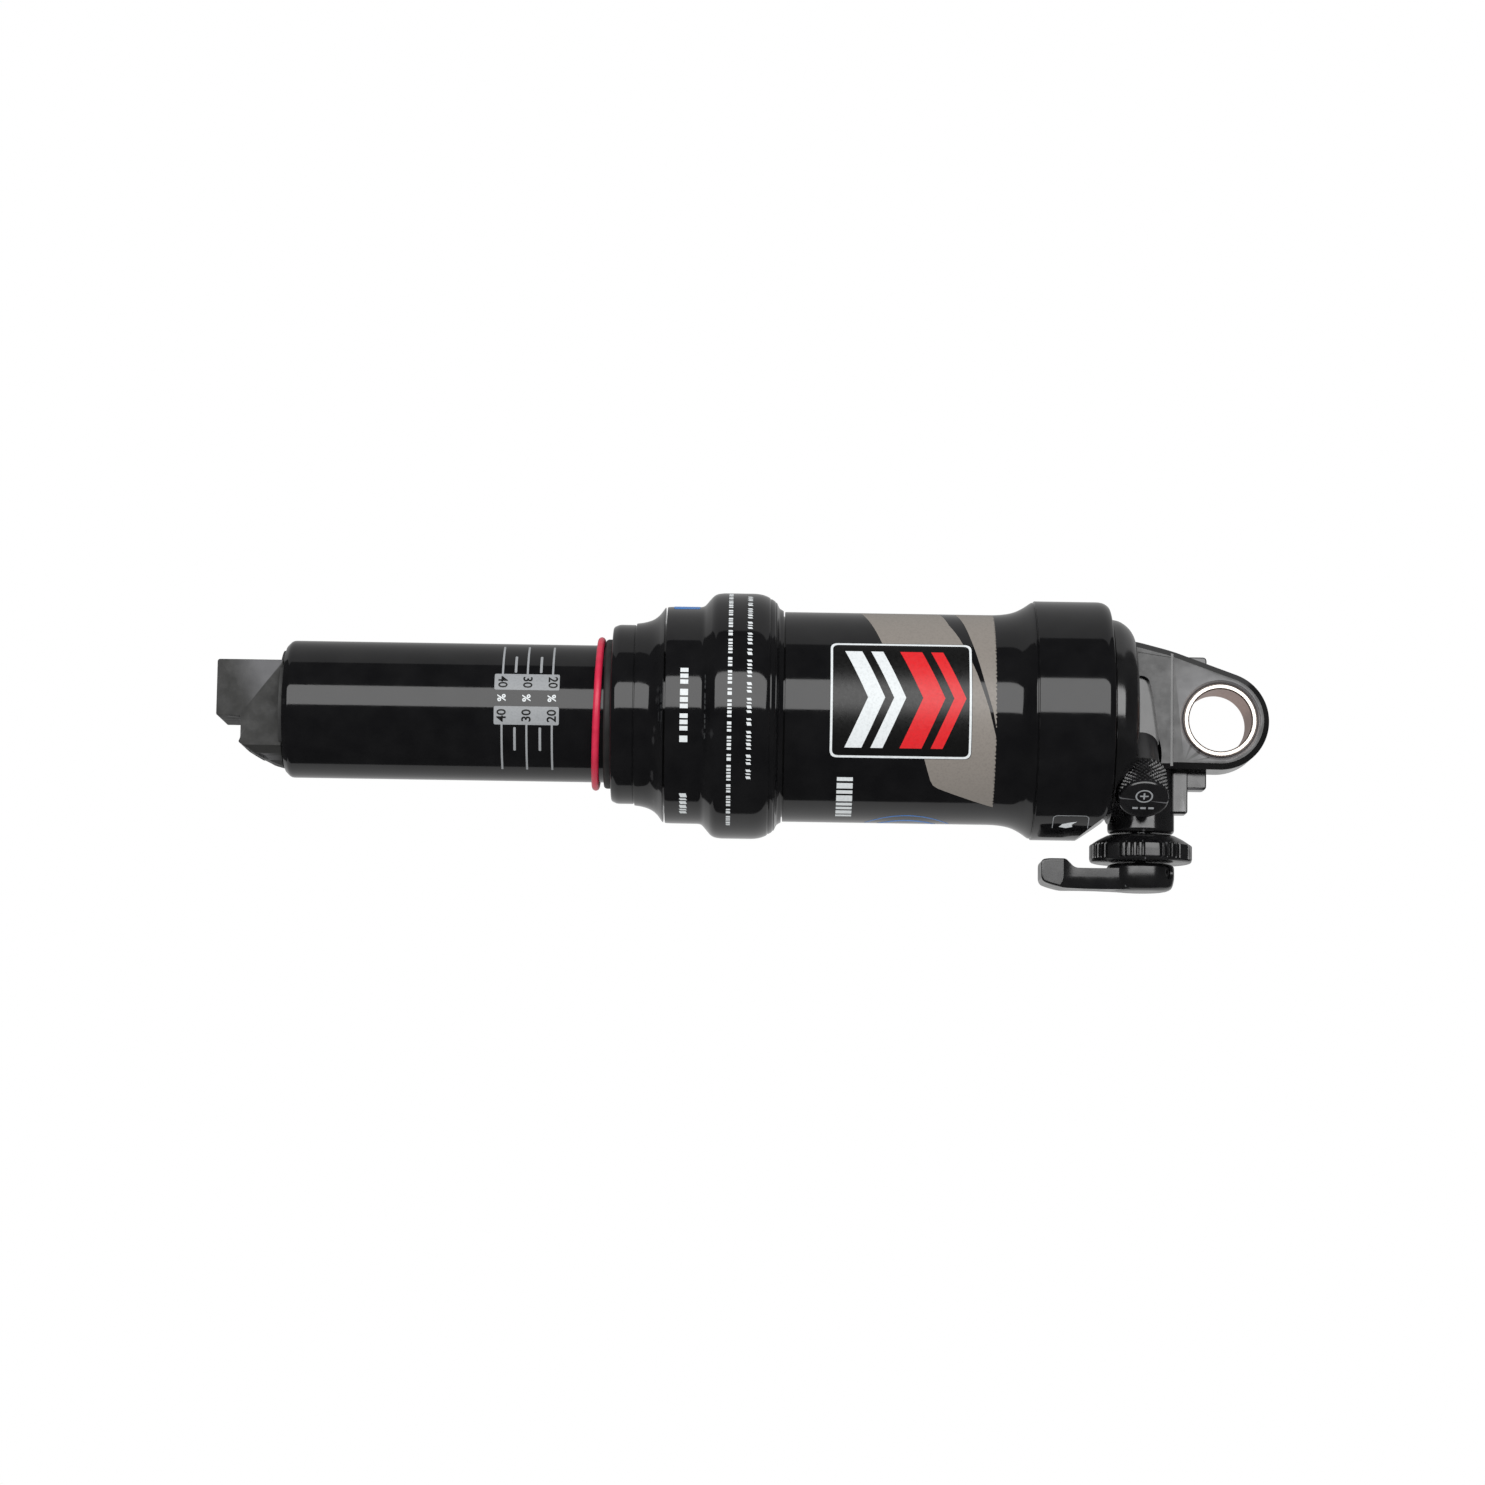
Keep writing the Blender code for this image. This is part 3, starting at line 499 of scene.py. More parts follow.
def make_can_group():
    """Wiper, stepped collar, wide ring with its valve boss, and the flared can."""
    wiper = turned("wiper", [
        (-125.0, 14.15), (-125.0, 14.9, 0.15), (-124.6, 15.25, 0.3), (-123.75, 15.25), (-123.2, 16.3),
        (-119.9, 16.3), (-119.9, 14.15),
    ])
    show(wiper, "head", "black_rubber", "wiper_seal")

    left = COLLAR_LEFT
    collar = turned("collar", [
        (left, 16.5, 0.1), (left, 17.75, 0.45), (-122.3, 18.3, 0.5), (-119.05, 18.3, 0.05),
        (-119.0, 18.18, 0.03), (-118.8, 18.18, 0.03), (-118.75, 18.6, 0.1), (-117.2, 18.8, 0.8),
        (-115.4, 19.35, 1.0), (-114.1, 20.35, 0.8), (-112.95, 21.95, 0.12), (-112.85, 21.9, 0.05),
        (-112.85, 18.7), (-106.2, 18.7), (-106.2, 14.35), (-106.9, 14.35), (-106.9, 15.5),
        (-114.4, 15.5), (-114.4, 14.35), (-115.4, 14.35), (-115.4, 16.4), (-118.6, 16.4),
        (-118.6, 14.35), (-119.6, 14.35), (-119.6, 16.5),
    ])
    show(collar, "head", "gloss_black", "can_collar")

    sleeve = turned("wide_ring", [
        (SLEEVE_LEFT, 20.9), (SLEEVE_LEFT, 22.05, 0.12), (-111.6, 22.12, 0.5), (-105.5, 22.15, 0.5),
        (-104.9, 22.4, 0.5), (-102.9, 24.75, 0.9), (-101.3, 25.06, 0.8), (-94.3, 25.06, 0.9),
        (-92.9, 24.8, 0.7), (-91.75, 24.3, 0.35), (-91.55, 23.95, 0.08), (-91.35, 24.0, 0.08),
        (-90.7, 23.62, 0.2), (-90.5, 23.3, 0.08), (-90.3, 23.3, 0.08), (-89.75, 22.1, 0.35),
        (-89.1, 21.75, 0.15), (-88.9, 21.6), (-88.9, 20.9), (-94.4, 20.9), (-95.6, 23.2),
        (-101.6, 23.2), (-104.4, 20.9),
    ])
    boss = turned("tool", [(22.5, 0.0), (22.5, 5.0), (SAG_BOSS_TOP, 5.0, 0.5), (SAG_BOSS_TOP, 0.0)],
                  MID_STEPS, SAG_VALVE_PLACE, Y_AXIS)
    hollow = rod("tool_hollow", 20.0, 23.6, 6.0, MID_STEPS, SAG_VALVE_PLACE, Y_AXIS)
    combine(boss, hollow, "DIFFERENCE")
    combine(sleeve, boss)
    show(sleeve, "head", "gloss_black", "negative_sleeve")

    can = turned("can", [
        (-112.1, 19.0), (-112.1, 20.5), (-110.95, 20.5), (-110.95, 19.8), (-108.45, 19.8),
        (-108.45, 20.5), (-94.15, 20.5), (-94.15, 19.8), (-91.65, 19.8), (-91.65, 20.5),
        (-88.6, 20.5), (-88.6, CAN_R, 0.15), (-45.0, CAN_R, 2.2), (-42.0, 21.95, 1.4),
        (-40.0, 23.0, 0.6), (-38.5, 24.05, 0.3), (-38.25, 24.1, 0.05), (-38.15, 23.98, 0.04),
        (-37.95, 23.98, 0.04), (-37.9, CAN_FLARE_R, 0.12), (-24.0, CAN_FLARE_R, 1.3),
        (CAN_RIGHT, 23.4, 0.6), (CAN_RIGHT, 19.0),
    ])
    relief = prism("tool", [(-31.0, -25.9), (-20.0, -17.8), (-20.0, -30.0), (-31.0, -30.0)], -20.0, 20.0)
    combine(can, relief, "DIFFERENCE")
    show(can, "head", "gloss_black", "air_can")


# ---------------------------------------------------------------- head

def make_head():
    """Head with its shoulder, lug, rear rib and adjuster boss."""
    head = turned("head", [
        (-30.0, 0.0), (-30.0, 18.7, 0.6), (-28.6, 18.7), (-28.6, 17.0), (-26.2, 17.0), (-26.2, 18.7),
        (SHOULDER_LEFT, 18.7), (SHOULDER_LEFT, 20.95, 0.2), (-20.4, 20.6, 0.8), (-18.6, 19.4, 1.1),
        (SHOULDER_RIGHT, 17.4, 1.2), (SHOULDER_RIGHT, 0.0),
    ])
    lug_outline = [
        (-19.5, -9.9), (-19.5, 16.2), (-16.9, 15.9, 1.5), (-9.8, 14.1, 2.0),
        *arc((0.0, 0.0), EYELET_R, 70.0, -90.0, 64), (-8.0, -9.9, 0.6),
    ]
    combine(head, prism("tool", lug_outline, -LUG_HALF_WIDTH, LUG_HALF_WIDTH, 1.3, 1))
    rib = prism("tool", [(-8.1, -13.6, 0.9), (-2.0, -13.6, 0.9), (-2.0, 13.8, 0.9), (-8.1, 13.8, 0.9)],
                1.0, 5.9, 0.6)
    combine(head, rib)
    step_outline = [(-12.0, -18.6, 0.7), (-5.9, -18.6, 0.7), (-5.9, -9.0), (-12.0, -9.0)]
    combine(head, prism("tool", step_outline, 0.2, 5.1, 0.6))
    boss = turned("tool", [(1.0, 0.0), (1.0, 6.8, 1.0), (22.8, 6.8, 0.9), (22.8, 0.0)], FINE_STEPS,
                  KNOB_AXIS, DOWN)
    combine(head, boss)
    cut_lug(head)
    cut_head_ways(head)
    show(head, "head", "head_casting", "head_body", slot="satin_black")


def cut_lug(head):
    """Cut the seam, the side panel, the valve recess and the eyelet."""
    seam = prism("tool", [(-10.1, -12.0), (-9.55, -12.0), (-9.55, 17.0), (-10.1, 17.0)],
                 -LUG_HALF_WIDTH - 1.0, -LUG_HALF_WIDTH + 0.7)
    combine(head, seam, "DIFFERENCE")
    panel = prism("tool", [(-19.5, -9.0), (-10.1, -9.0), (-10.1, 12.7), (-19.5, 14.1)],
                  -LUG_HALF_WIDTH - 1.0, -LUG_HALF_WIDTH + 0.22)
    combine(head, panel, "DIFFERENCE")
    pocket = turned("tool", [
        (6.5, 0.0), (6.5, 4.4, 0.8), (13.5, 4.4, 0.4), (14.8, 5.7, 0.4), (30.0, 5.7), (30.0, 0.0),
    ], MID_STEPS, VALVE_PLACE, VALVE_AXIS)
    combine(head, pocket, "DIFFERENCE")
    scoop = prism("tool", [
        (-17.5, -5.0), (-17.5, 9.0, 0.8), (-14.6, 8.7, 1.4), (-13.7, 5.0, 1.5), (-12.3, -5.0),
    ], -LUG_HALF_WIDTH - 1.0, -3.9)
    combine(head, scoop, "DIFFERENCE")
    eye = rod("tool", -8.0, 8.0, BUSH_R + 0.06, FINE_STEPS, ORIGIN, Y_AXIS)
    combine(head, eye, "DIFFERENCE")
    for side in (-1, 1):
        mouth = turned("tool", [
            (LUG_HALF_WIDTH - 0.6, 0.0), (LUG_HALF_WIDTH - 0.6, BUSH_R + 0.05),
            (LUG_HALF_WIDTH + 0.2, BUSH_R + 0.85), (LUG_HALF_WIDTH + 0.2, 0.0),
        ], FINE_STEPS, ORIGIN, Y_AXIS * side)
        combine(head, mouth, "DIFFERENCE")


def cut_head_ways(head):
    """Cut the shaft's seat, the room for the cams and spindles, and the detent ball's way."""
    shaft_seat = turned("tool", [
        (-31.0, 0.0), (-31.0, 6.65), (-20.2, 6.65), (-20.2, 3.2), (-16.3, 3.2), (-16.3, 0.0),
    ], SMALL_STEPS)
    combine(head, shaft_seat, "DIFFERENCE")
    cam_room = turned("tool", [
        (-2.4, 0.0), (-2.4, 4.2), (3.5, 4.2), (3.5, SPINDLE_WAY_R), (24.0, SPINDLE_WAY_R), (24.0, 0.0),
    ], SMALL_STEPS, KNOB_AXIS, DOWN)
    combine(head, cam_room, "DIFFERENCE")
    ball_way = rod("tool", 18.3, 24.0, 1.1, SMALL_STEPS, KNOB_AXIS + X_AXIS * 5.0, DOWN)
    combine(head, ball_way, "DIFFERENCE")


def make_bush():
    """Bush of the eyelet, with its rims chamfered."""
    half = LUG_HALF_WIDTH
    bush = turned("bush", [
        (-half, BUSH_BORE_R + 0.25), (-half, BUSH_R - 0.3), (-half + 0.3, BUSH_R), (half - 0.3, BUSH_R),
        (half, BUSH_R - 0.3), (half, BUSH_BORE_R + 0.25), (half - 0.25, BUSH_BORE_R),
        (-half + 0.25, BUSH_BORE_R),
    ], FINE_STEPS, ORIGIN, Y_AXIS)
    show(bush, "head", "bush_metal", "eyelet_bush")


# ---------------------------------------------------------------- adjusters and valves

def patterned(name, points, pattern, steps, place, direction):
    """Closed solid of (along, radius, depth) points that sink by depth where pattern(along, turn) is 1."""
    mesh = bmesh.new()
    rings = []
    for along, radius, depth in points:
        if radius == 0.0:
            rings.append([mesh.verts.new((along, 0.0, 0.0))] * steps)
            continue
        ring = []
        for step in range(steps):
            turn = math.tau * step / steps
            size = radius - depth * pattern(along, turn)
            ring.append(mesh.verts.new((along, size * math.cos(turn), size * math.sin(turn))))
        rings.append(ring)
    pairs = list(zip(rings, rings[1:]))
    if points[0][1] > 0.0:
        pairs.append((rings[-1], rings[0]))
    for first, second in pairs:
        for step in range(steps):
            after = (step + 1) % steps
            corners = (first[step], first[after], second[after], second[step])
            mesh.faces.new(dict.fromkeys(corners))
    return object_from(name, mesh, place, direction)


def between(low, high, count, radius, depth):
    """Evenly spaced rows of the same radius and depth for a patterned piece."""
    return [(low + (high - low) * step / (count - 1), radius, depth) for step in range(count)]


def groove(phase, width):
    """0 on the land and 1 in the groove, for a phase that counts grooves."""
    distance = abs(phase - math.floor(phase) - 0.5) * 2.0
    return max(0.0, min(1.0, (width - distance) / width * 1.6))


def make_knob():
    """Ribbed dial: eight groups of fine ribs with plain lands between them."""
    groups, ribs, share = 8, 5, 0.7

    def rib_pattern(_, turn):
        phase = (turn / math.tau * groups + 0.02) % 1.0
        return groove(phase / share * ribs, 0.62) if phase < share else 0.0

    points = [
        (KNOB_TOP, SPINDLE_WAY_R, 0.0), (KNOB_TOP, 6.6, 0.0), (KNOB_TOP + 0.05, 7.0, 0.0),
        (KNOB_TOP + 0.2, 7.3, 0.0), (24.0, 8.6, 0.0), (24.75, 9.75, 0.0), (24.95, 9.95, 0.0),
        (25.05, 10.2, 0.35), (25.2, 10.38, 0.6), (25.4, KNOB_R, 0.7), (26.4, KNOB_R, 0.7),
        (27.4, KNOB_R, 0.7), (27.75, KNOB_R, 0.7), (27.95, KNOB_R, 0.5), (28.1, KNOB_R - 0.03, 0.12),
        (28.15, KNOB_R - 0.05, 0.0), (28.4, KNOB_R - 0.1, 0.0), (28.6, KNOB_R - 0.3, 0.0),
        (KNOB_BOTTOM, KNOB_R - 0.6, 0.0),
        (KNOB_BOTTOM, SPINDLE_WAY_R, 0.0),
    ]
    dial = patterned("adjuster_dial", points, rib_pattern, 720, KNOB_AXIS, DOWN)
    show(dial, "rebound_dial", "black_alloy", "rebound_knob")


def make_lever():
    """Lever with a round hub and a waisted handle with a notch above it, and its clamp screw."""
    top, bottom = 29.05, LEVER_BOTTOM
    handle = turned("mode_lever", [
        (top, 0.0), (top, 6.3, 0.2), (29.5, 6.85, 0.4), (32.4, 6.9, 1.6), (bottom, 6.1, 2.4),
        (bottom, 0.0),
    ], FINE_STEPS, KNOB_AXIS, DOWN)
    half = 5.2
    tab = prism("tool", [
        (LEVER_TIP, -32.9, 1.2), (LEVER_TIP, -28.6, 0.9), (-34.5, -28.3, 0.8),
        (-30.9, -28.3, 0.5), (-29.0, -30.1, 0.8), (-14.0, -30.1), (-14.0, -bottom + 0.15),
        (-31.5, -bottom + 0.35, 1.0), (-34.2, -bottom + 1.0, 1.2),
    ], KNOB_AXIS.y - half, KNOB_AXIS.y + half, 0.7, 4)
    for side in (-1, 1):
        waist = turned("tool", [(27.0, 0.0), (27.0, 13.0), (33.4, 13.0, 1.6), (36.0, 14.6), (36.0, 0.0)],
                       FINE_STEPS, Vector((-25.5, KNOB_AXIS.y + side * (half + 11.6), 0.0)), DOWN)
        combine(tab, waist, "DIFFERENCE")
    combine(handle, tab)
    combine(handle, rod("tool", 28.0, 31.5, 1.4, SMALL_STEPS, KNOB_AXIS, DOWN), "DIFFERENCE")
    aim = Vector((math.cos(math.radians(36.0)), -math.sin(math.radians(36.0)), 0.0))
    screw_place = KNOB_AXIS + Vector((0.0, 0.0, -30.7))
    screw_way = turned("tool", [(0.5, 0.0), (0.5, 1.25), (6.35, 1.25), (7.3, 1.9), (7.3, 0.0)],
                       SMALL_STEPS, screw_place, aim)
    combine(handle, screw_way, "DIFFERENCE")
    show(handle, "lockout_handle", "black_alloy", "lockout_lever")

    screw = turned("clamp_screw", [(1.8, 0.0), (1.8, 0.8, 0.2), (2.2, 1.1), (6.2, 1.1, 0.2), (6.35, 0.0)],
                   SMALL_STEPS, screw_place, aim)
    combine(screw, rod("tool", 4.6, 7.0, 0.62, 6, screw_place, aim), "DIFFERENCE")
    show(screw, "lockout_handle", "steel", "lever_screw")


def make_valve(prefix, base, place, direction, bodies, nodes):
    """Threaded stem with its knurled cap."""
    rim = base + 14.2
    bore = 2.65
    stem_points = [
        (base, 0.0), (base, STEM_R - 0.1, 0.1), (rim - 0.5, STEM_R - 0.05, 0.3), (rim, STEM_R - 0.45),
        (rim, bore), (base + 1.4, bore), (base + 1.4, 0.0),
    ]
    stem = turned(prefix + "_stem", stem_points, MID_STEPS, place, direction)
    show(stem, bodies[0], "satin_black", nodes[0])

    start, end = rim - 5.6, rim + 1.8
    around, pitch = 32, 1.0

    def diamonds(along, turn):
        shift = (along - start) / pitch
        lean = turn / math.tau * around
        return max(groove(lean + shift, 0.6), groove(lean - shift, 0.6))

    inner = STEM_R + 0.15
    points = [
        (end - 1.2, 0.0, 0.0), (end - 1.2, inner, 0.0), (start, inner, 0.0), (start, CAP_R - 0.3, 0.0),
        (start + 0.15, CAP_R - 0.1, 0.0), *between(start + 0.35, end - 0.9, 48, CAP_R, 0.34),
        (end - 0.8, CAP_R - 0.05, 0.0), (end - 0.35, CAP_R - 0.12, 0.0), (end - 0.1, CAP_R - 0.3, 0.0),
        (end, CAP_R - 0.6, 0.0), (end, CAP_R - 1.6, 0.0), (end, 0.0, 0.0),
    ]
    cap = patterned(prefix + "_dust_cap", points, diamonds, around * 8, place, direction)
    show(cap, bodies[1], "black_alloy", nodes[1])
    return end


# ---------------------------------------------------------------- printing

def flat_shape(*outlines):
    """Flat mesh of closed (along, round) outlines."""
    flat = bmesh.new()
    for outline in outlines:
        flat.faces.new([flat.verts.new((*point, 0.0)) for point in outline])
    return flat


def add_strip(flat, first, second, closed):
    """Add the faces between two rows of points to a flat mesh."""
    rows = [[flat.verts.new((*point, 0.0)) for point in row] for row in (first, second)]
    count = len(rows[0])
    for step in range(count if closed else count - 1):
        after = (step + 1) % count
        flat.faces.new((rows[0][step], rows[0][after], rows[1][after], rows[1][step]))


def box_outline(low, high, corner=0.0):
    """Rectangle outline from two corners, with rounded corners if asked for."""
    points = [(low[0], low[1]), (high[0], low[1]), (high[0], high[1]), (low[0], high[1])]
    return rounded([(*point, corner) for point in points], 6)


def add_frame(flat, low, high, corner, width):
    """Add a rounded frame of one line width to a flat mesh."""
    outer = box_outline(low, high, corner)
    inner = box_outline((low[0] + width, low[1] + width), (high[0] - width, high[1] - width),
                        corner - width * 0.6)
    add_strip(flat, outer, inner, True)


def add_text(flat, words, size, centre, turn):
    """Add plain figures to a flat mesh, centred on a point and turned by some degrees."""
    curve = bpy.data.curves.new("figures", "FONT")
    curve.body = words
    curve.size = size
    curve.align_x = "CENTER"
    curve.align_y = "CENTER"
    curve.resolution_u = 3
    curve.offset = size * 0.018
    item = bpy.data.objects.new("figures", curve)
    bpy.context.scene.collection.objects.link(item)
    graph = bpy.context.evaluated_depsgraph_get()
    data = bpy.data.meshes.new_from_object(item.evaluated_get(graph))
    data.transform(Matrix.Translation((*centre, 0.0)) @ Matrix.Rotation(math.radians(turn), 4, "Z"))
    flat.from_mesh(data)
    bpy.data.objects.remove(item, do_unlink=True)


def slab(name, flat, place, thickness, sunk=0.04):
    """Closed thin solid over a flat mesh, with each point put in its place by place(x, y, height)."""
    bmesh.ops.remove_doubles(flat, verts=flat.verts, dist=0.001)
    solid = bmesh.new()
    layers = [{vert: solid.verts.new(place(vert.co.x, vert.co.y, height)) for vert in flat.verts}
              for height in (thickness, -sunk)]
    for face in flat.faces:
        solid.faces.new([layers[0][vert] for vert in face.verts])
        solid.faces.new([layers[1][vert] for vert in reversed(face.verts)])
    for edge in flat.edges:
        if len(edge.link_faces) == 1:
            first, second = edge.verts
            solid.faces.new((layers[0][first], layers[1][first], layers[1][second], layers[0][second]))
    flat.free()
    return object_from(name, solid)


def wrapped(name, flat, radius, body, colour, thickness=0.02):
    """Print wrapped round the shaft axis: the flat mesh's Y runs up round the front from -Y."""
    pace = radius * math.radians(2.5)
    rounds = [vert.co.y for vert in flat.verts]
    for step in range(math.ceil(min(rounds) / pace), math.floor(max(rounds) / pace) + 1):
        bmesh.ops.bisect_plane(flat, geom=[*flat.verts, *flat.edges, *flat.faces],
                               plane_co=(0.0, step * pace, 0.0), plane_no=Y_AXIS)

    def place(along, around, height):
        turn = around / radius
        return (along, -(radius + height) * math.cos(turn), (radius + height) * math.sin(turn))

    return show(slab(name, flat, place, thickness), body, colour)


def around_at(height, radius):
    """Distance round a cylinder to what the photograph shows at a height above the axis."""
    return radius * (math.asin(height / radius) - VIEW_DROP)


def print_sag_scale():
    """Sag scale on the tube: lines, two pale bands, and figures on the bands."""
    radius = BODY_R

    def up(height):
        return around_at(height, radius)

    marks = {"40": -145.4, "30": -140.4, "20": -135.3}
    lines = [box_outline((x - 0.2, up(low)), (x + 0.2, up(high)))
             for x in marks.values() for low, high in ((7.7, 13.3), (-11.5, -2.5))]
    lines += [box_outline((x - 0.25, up(low)), (x + 0.25, up(high)), 0.2)
              for x in (-142.8, -137.7) for low, high in ((8.0, 11.3), (-7.7, -3.0))]
    wrapped("scale_lines", flat_shape(*lines), radius, "damper", "silver_ink", 0.015)
    patches = [box_outline((-147.0, up(low)), (-133.9, up(high)), 0.4)
               for low, high in ((4.5, 7.7), (-2.5, 1.2))]
    wrapped("scale_patches", flat_shape(*patches), radius, "damper", "silver_ink", 0.02)
    figures, percents = bmesh.new(), bmesh.new()
    for words, x in marks.items():
        add_text(figures, words, 2.6, (x, up(6.1)), -90.0)
        add_text(figures, words, 2.6, (x, up(-0.65)), 90.0)
        add_text(percents, "%", 2.3, (x, up(2.9)), 90.0)
    wrapped("scale_figures", figures, radius, "damper", "black_ink", 0.035)
    wrapped("scale_percents", percents, radius, "damper", "white_ink", 0.02)


def dashes(x, low, high, lengths, half_width, lean=0.0, gap=0.3):
    """Plain dashes in a row round a cylinder, standing for small print; a 0 leaves a wider gap."""
    made = []
    start = high
    for index in range(400):
        length = lengths[index % len(lengths)]
        if start - length < low:
            break
        if length == 0.0:
            start -= 2.0 * gap
            continue
        made.append([(x - half_width + lean, start - length), (x + half_width, start - length),
                     (x + half_width - lean, start), (x - half_width, start)])
        start -= length + gap
    return made


def print_badge():
    """Pale swoosh, split by a dark slash, with a framed badge of chevrons over it."""
    radius = CAN_R

    def up(height):
        return around_at(height, radius)

    right = -46.0
    left = [(-73.4, up(21.3)), (-72.2, up(20.2)), (-70.8, up(18.2)), (-69.2, up(15.0)),
            (-66.4, up(8.0)), (-62.6, up(-2.0)), (-60.6, up(-8.0)), (-59.2, up(-12.4)),
            (-58.6, up(-13.4)), (-57.6, up(-14.0))]
    slash_left = [(-57.4, up(21.3)), (-55.6, up(18.9)), (-53.7, up(16.3)), (-50.2, up(9.1)),
                  (-47.9, up(2.4)), (right, up(-4.9))]
    slash_right = [(right, up(-3.6)), (-47.0, up(1.6)), (-48.8, up(7.7)), (-51.4, up(16.2)),
                   (-54.2, up(21.3))]
    swoosh = flat_shape([*left, (right, up(-17.7)), *reversed(slash_left)],
                        [(right, up(21.3)), *reversed(slash_right[1:]), slash_right[0]])
    wrapped("swoosh", swoosh, radius, "head", "taupe_ink", 0.012)
    low, high = (-79.6, up(-8.1)), (-51.2, up(14.9))
    wrapped("badge_ground", flat_shape(box_outline(low, high, 1.5)), radius, "head", "black_ink", 0.022)
    frame_lines = bmesh.new()
    add_frame(frame_lines, (low[0] + 0.1, low[1] + 0.1), (high[0] - 0.1, high[1] - 0.1), 1.5, 0.45)
    wrapped("badge_frame", frame_lines, radius, "head", "white_ink", 0.034)
    middle = (low[1] + high[1]) / 2
    reach = (high[1] - low[1]) / 2 - 2.2

    def chevron(x, width, depth):
        return [(x, middle - reach), (x + width, middle - reach), (x + width + depth, middle),
                (x + width, middle + reach), (x, middle + reach), (x + depth, middle)]

    white = [chevron(x, width, 4.6) for x, width in ((-76.6, 3.4), (-71.4, 2.4))]
    red = [chevron(x, width, 4.6) for x, width in ((-65.6, 4.4), (-59.4, 2.4))]
    wrapped("badge_white", flat_shape(*white), radius, "head", "white_ink", 0.034)
    wrapped("badge_red", flat_shape(*red), radius, "head", "red_ink", 0.034)


def print_can_foot():
    """Block of plain dashes and two pairs of blue arcs low on the can."""
    radius = CAN_R
    low, high = around_at(-20.6, radius), around_at(-12.0, radius)
    marks = dashes(-76.3, low, high, (0.9, 1.4, 0.9, 1.8, 0.9), 1.6, 0.0, 0.55)
    wrapped("side_marks", flat_shape(*marks), radius, "head", "white_ink")
    centre = (-63.3, around_at(-21.0, radius) - 4.5)
    ring = bmesh.new()
    for outer, inner in ((9.2, 8.8), (6.4, 5.4)):
        add_strip(ring, arc(centre, outer, 20.0, 160.0, 40), arc(centre, inner, 20.0, 160.0, 40), False)
    wrapped("blue_arcs", ring, radius, "head", "blue_ink")


def print_wide_ring():
    """Rows of plain dashes on the wide ring, and dashes and a blue label on the band beside it."""
    ring_r = high_of("negative_sleeve").z - 0.04
    lengths = (0.5, 0.3, 0.6, 0.5, 0.0, 0.4, 0.7, 0.0, 0.5, 0.5, 0.3, 0.6, 0.4, 0.0, 0.6, 0.3, 0.5, 0.0)
    rows = dashes(-99.6, -30.0, 33.0, lengths, 0.42, 0.0, 0.3)
    rows += dashes(-95.7, -16.5, 30.0, lengths, 0.55, 0.22, 0.36)
    wrapped("ring_print", flat_shape(*rows), ring_r, "head", "white_ink", 0.02)
    band_r = 22.16
    band_rows = dashes(-108.7, -8.0, 7.2, (0.9, 0.9, 0.9, 0.0, 1.3, 1.0, 0.9, 0.0), 0.8, 0.0, 0.35)
    band_rows += dashes(-108.7, -28.0, -20.0, (1.1, 0.5, 0.9), 0.8, 0.25, 0.4)
    wrapped("band_print", flat_shape(*band_rows), band_r, "head", "white_ink", 0.02)
    blue = [box_outline((-111.2, band_r * math.radians(71.0)), (-105.9, band_r * math.radians(140.0)), 0.4)]
    wrapped("band_label", flat_shape(*blue), band_r, "head", "blue_ink", 0.03)


def print_flare():
    """Small plain shape low on the flare, with an open frame round it."""
    flare_r = CAN_FLARE_R
    left, right, low, high = -34.3, -27.0, around_at(-21.6, flare_r), around_at(-19.0, flare_r)
    corner, line = 1.0, 0.16

    def turns(size):
        return [*arc((left + corner, high - corner), size, 180.0, 90.0, 8),
                *arc((right - corner, high - corner), size, 90.0, 0.0, 8)]

    outline = [(left, low), *turns(corner), (right, low), (right - line, low),
               *reversed(turns(corner - line)), (left + line, low)]
    wrapped("flare_frame", flat_shape(outline), flare_r, "head", "silver_ink", 0.015)
    x, y = -31.2, around_at(-20.9, flare_r)
    drop = [(x - 1.7, y - 0.9), (x - 0.2, y - 1.4), (x + 1.0, y - 0.8), (x + 0.8, y + 0.1),
            (x + 1.8, y + 1.2), (x + 0.3, y + 0.8), (x - 1.1, y + 0.2)]
    wrapped("flare_mark", flat_shape(drop), flare_r, "head", "white_ink")


def print_cap(end, direction, body):
    """Circled plus with three plain bars on the end face of the main valve's cap."""
    flat = bmesh.new()
    centre = (0.0, 1.2)
    add_strip(flat, arc(centre, 1.75, 0.0, 360.0, 48)[:-1], arc(centre, 1.45, 0.0, 360.0, 48)[:-1], True)
    arm, half = 0.85, 0.17
    plus = [(-half, -arm), (half, -arm), (half, -half), (arm, -half), (arm, half), (half, half),
            (half, arm), (-half, arm), (-half, half), (-arm, half), (-arm, -half), (-half, -half)]
    flat.faces.new([flat.verts.new((x + centre[0], y + centre[1], 0.0)) for x, y in plus])
    for x in (-1.6, 0.0, 1.6):
        flat.faces.new([flat.verts.new((*point, 0.0))
                        for point in box_outline((x - 0.55, -2.35), (x + 0.55, -1.85))])
    upward = X_AXIS.cross(direction).normalized()
    if upward.z < 0.0:
        upward.negate()

    def place(x, y, height):
        return VALVE_PLACE + X_AXIS * x + upward * y + direction * (end + height)

    show(slab("cap_mark", flat, place, 0.03), body, "silver_ink")


# ---------------------------------------------------------------- pieces

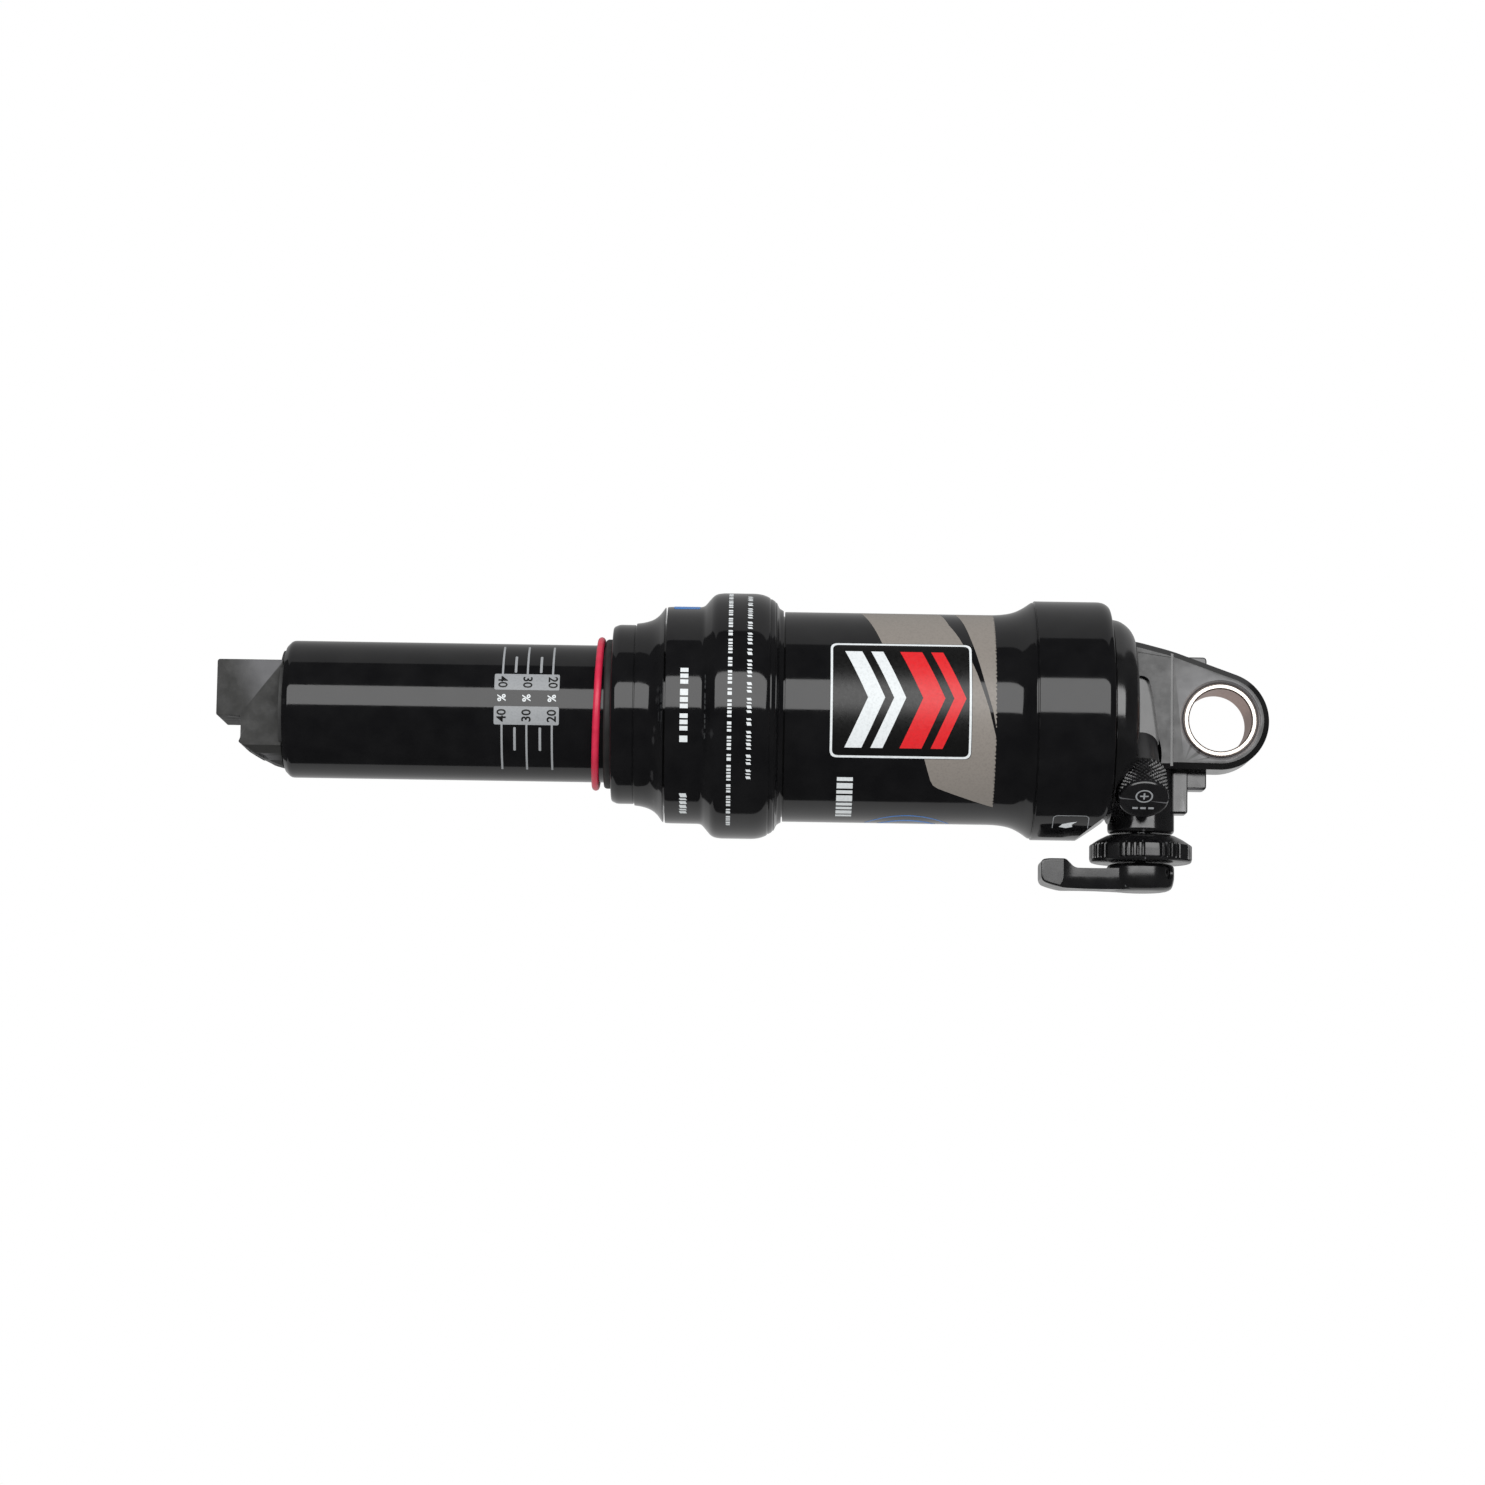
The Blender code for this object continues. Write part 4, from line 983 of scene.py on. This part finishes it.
make_damper_body()
make_end_block()
make_travel_ring()
make_can_group()
make_head()
make_bush()
make_knob()
make_lever()
cap_end = make_valve("main_valve", VALVE_BASE, VALVE_PLACE, VALVE_AXIS,
                     ("head", "air_cap"), ("air_valve_body", "air_valve_cap"))
make_valve("sag_valve", SAG_BOSS_TOP + 0.3, SAG_VALVE_PLACE, Y_AXIS,
           ("head", "sag_cap"), ("sag_valve_body", "sag_valve_cap"))
print_sag_scale()
print_badge()
print_can_foot()
print_wide_ring()
print_flare()
print_cap(cap_end, VALVE_AXIS, "air_cap")

# the sealed inner pieces keep their CAD shape
inner_looks = {
    "raw_alloy": ("air_piston", "main_piston", "floating_piston"),
    "hard_chrome": ("damper_shaft",),
    "steel": ("compression_shims", "rebound_shims", "piston_nut", "rebound_tube", "lockout_rod",
              "rebound_spindle", "lockout_spindle", "detent_ball", "detent_spring"),
    "bronze": ("guide_bush", "shaft_bush", "piston_band"),
    "brass": ("air_valve_core", "air_valve_pin", "sag_valve_core", "sag_valve_pin"),
    "black_rubber": ("air_piston_seal", "can_head_seal", "can_seal", "floating_piston_seal", "shaft_seal",
                     "sleeve_seal_left", "sleeve_seal_right", "bottom_out_bumper", "top_out_bumper"),
}
for look_name, nodes in inner_looks.items():
    for node in nodes:
        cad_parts[node].data.materials.clear()
        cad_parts[node].data.materials.append(looks[look_name])


# ---------------------------------------------------------------- floor, light and camera

def make_floor():
    """Plain pale floor well below the object."""
    flat = bmesh.new()
    bmesh.ops.create_circle(flat, cap_ends=True, segments=96, radius=12.0)
    data = bpy.data.meshes.new("floor")
    flat.to_mesh(data)
    flat.free()
    floor = bpy.data.objects.new("floor", data)
    floor.location = (0.0, 0.0, -FLOOR_DROP)
    floor.visible_glossy = False
    bpy.context.scene.collection.objects.link(floor)
    material, tree, shader = new_material("floor_paint", 0.9)
    paint = ramp(tree, noise(tree, 3.0), [(0.3, (0.90, 0.90, 0.90)), (0.7, (0.91, 0.91, 0.91))])
    tree.links.new(paint, shader.inputs["Base Color"])
    data.materials.append(material)


def add_panel(name, angle, distance, width, height, radiance):
    """Area light aimed at the object, at an angle round the shaft axis from -Y upwards, in degrees."""
    light = bpy.data.lights.new(name, "AREA")
    light.shape = "RECTANGLE"
    light.size = width
    light.size_y = height
    light.energy = radiance * 4.0 * width * height
    item = bpy.data.objects.new(name, light)
    turn = math.radians(angle)
    away = Vector((0.0, -math.cos(turn), math.sin(turn)))
    item.location = VIEW_TARGET + away * distance
    item.rotation_euler = away.to_track_quat("Z", "Y").to_euler()
    item.visible_camera = False
    bpy.context.scene.collection.objects.link(item)


def make_world():
    """White behind the object and soft light all round, but nearly dark in its reflections."""
    world = bpy.data.worlds.new("studio")
    world.use_nodes = True
    tree = world.node_tree
    shader = tree.nodes["Background"]
    path = tree.nodes.new("ShaderNodeLightPath")
    soft = tree.nodes.new("ShaderNodeMapRange")
    soft.inputs["To Min"].default_value = 0.05
    soft.inputs["To Max"].default_value = 0.75
    tree.links.new(path.outputs["Is Diffuse Ray"], soft.inputs["Value"])
    seen = tree.nodes.new("ShaderNodeMath")
    seen.operation = "MAXIMUM"
    tree.links.new(soft.outputs["Result"], seen.inputs[0])
    tree.links.new(path.outputs["Is Camera Ray"], seen.inputs[1])
    tree.links.new(seen.outputs["Value"], shader.inputs["Strength"])
    shader.inputs["Color"].default_value = (1.0, 1.0, 1.0, 1.0)
    bpy.context.scene.world = world


def make_camera():
    """Long lens from a little below the shaft, square to the printed side."""
    data = bpy.data.cameras.new("camera")
    data.lens = 100.9
    data.sensor_width = 36.0
    camera = bpy.data.objects.new("camera", data)
    away = Vector((0.0, -math.cos(VIEW_DROP), -math.sin(VIEW_DROP)))
    camera.location = VIEW_TARGET + away * VIEW_DISTANCE
    camera.rotation_mode = "QUATERNION"
    roll = Quaternion((0.0, 0.0, 1.0), VIEW_ROLL)
    camera.rotation_quaternion = away.to_track_quat("Z", "Y") @ roll
    bpy.context.scene.collection.objects.link(camera)
    bpy.context.scene.camera = camera


make_floor()
make_world()
add_panel("key_softbox", 18.5, 1.2, 2.4, 0.71, 2.6)
add_panel("back_top_panel", 130.0, 1.0, 2.0, 2.4, 0.30)
add_panel("back_low_panel", -145.0, 1.0, 1.8, 1.4, 0.43)
make_camera()
bpy.context.scene.view_settings.view_transform = "Standard"
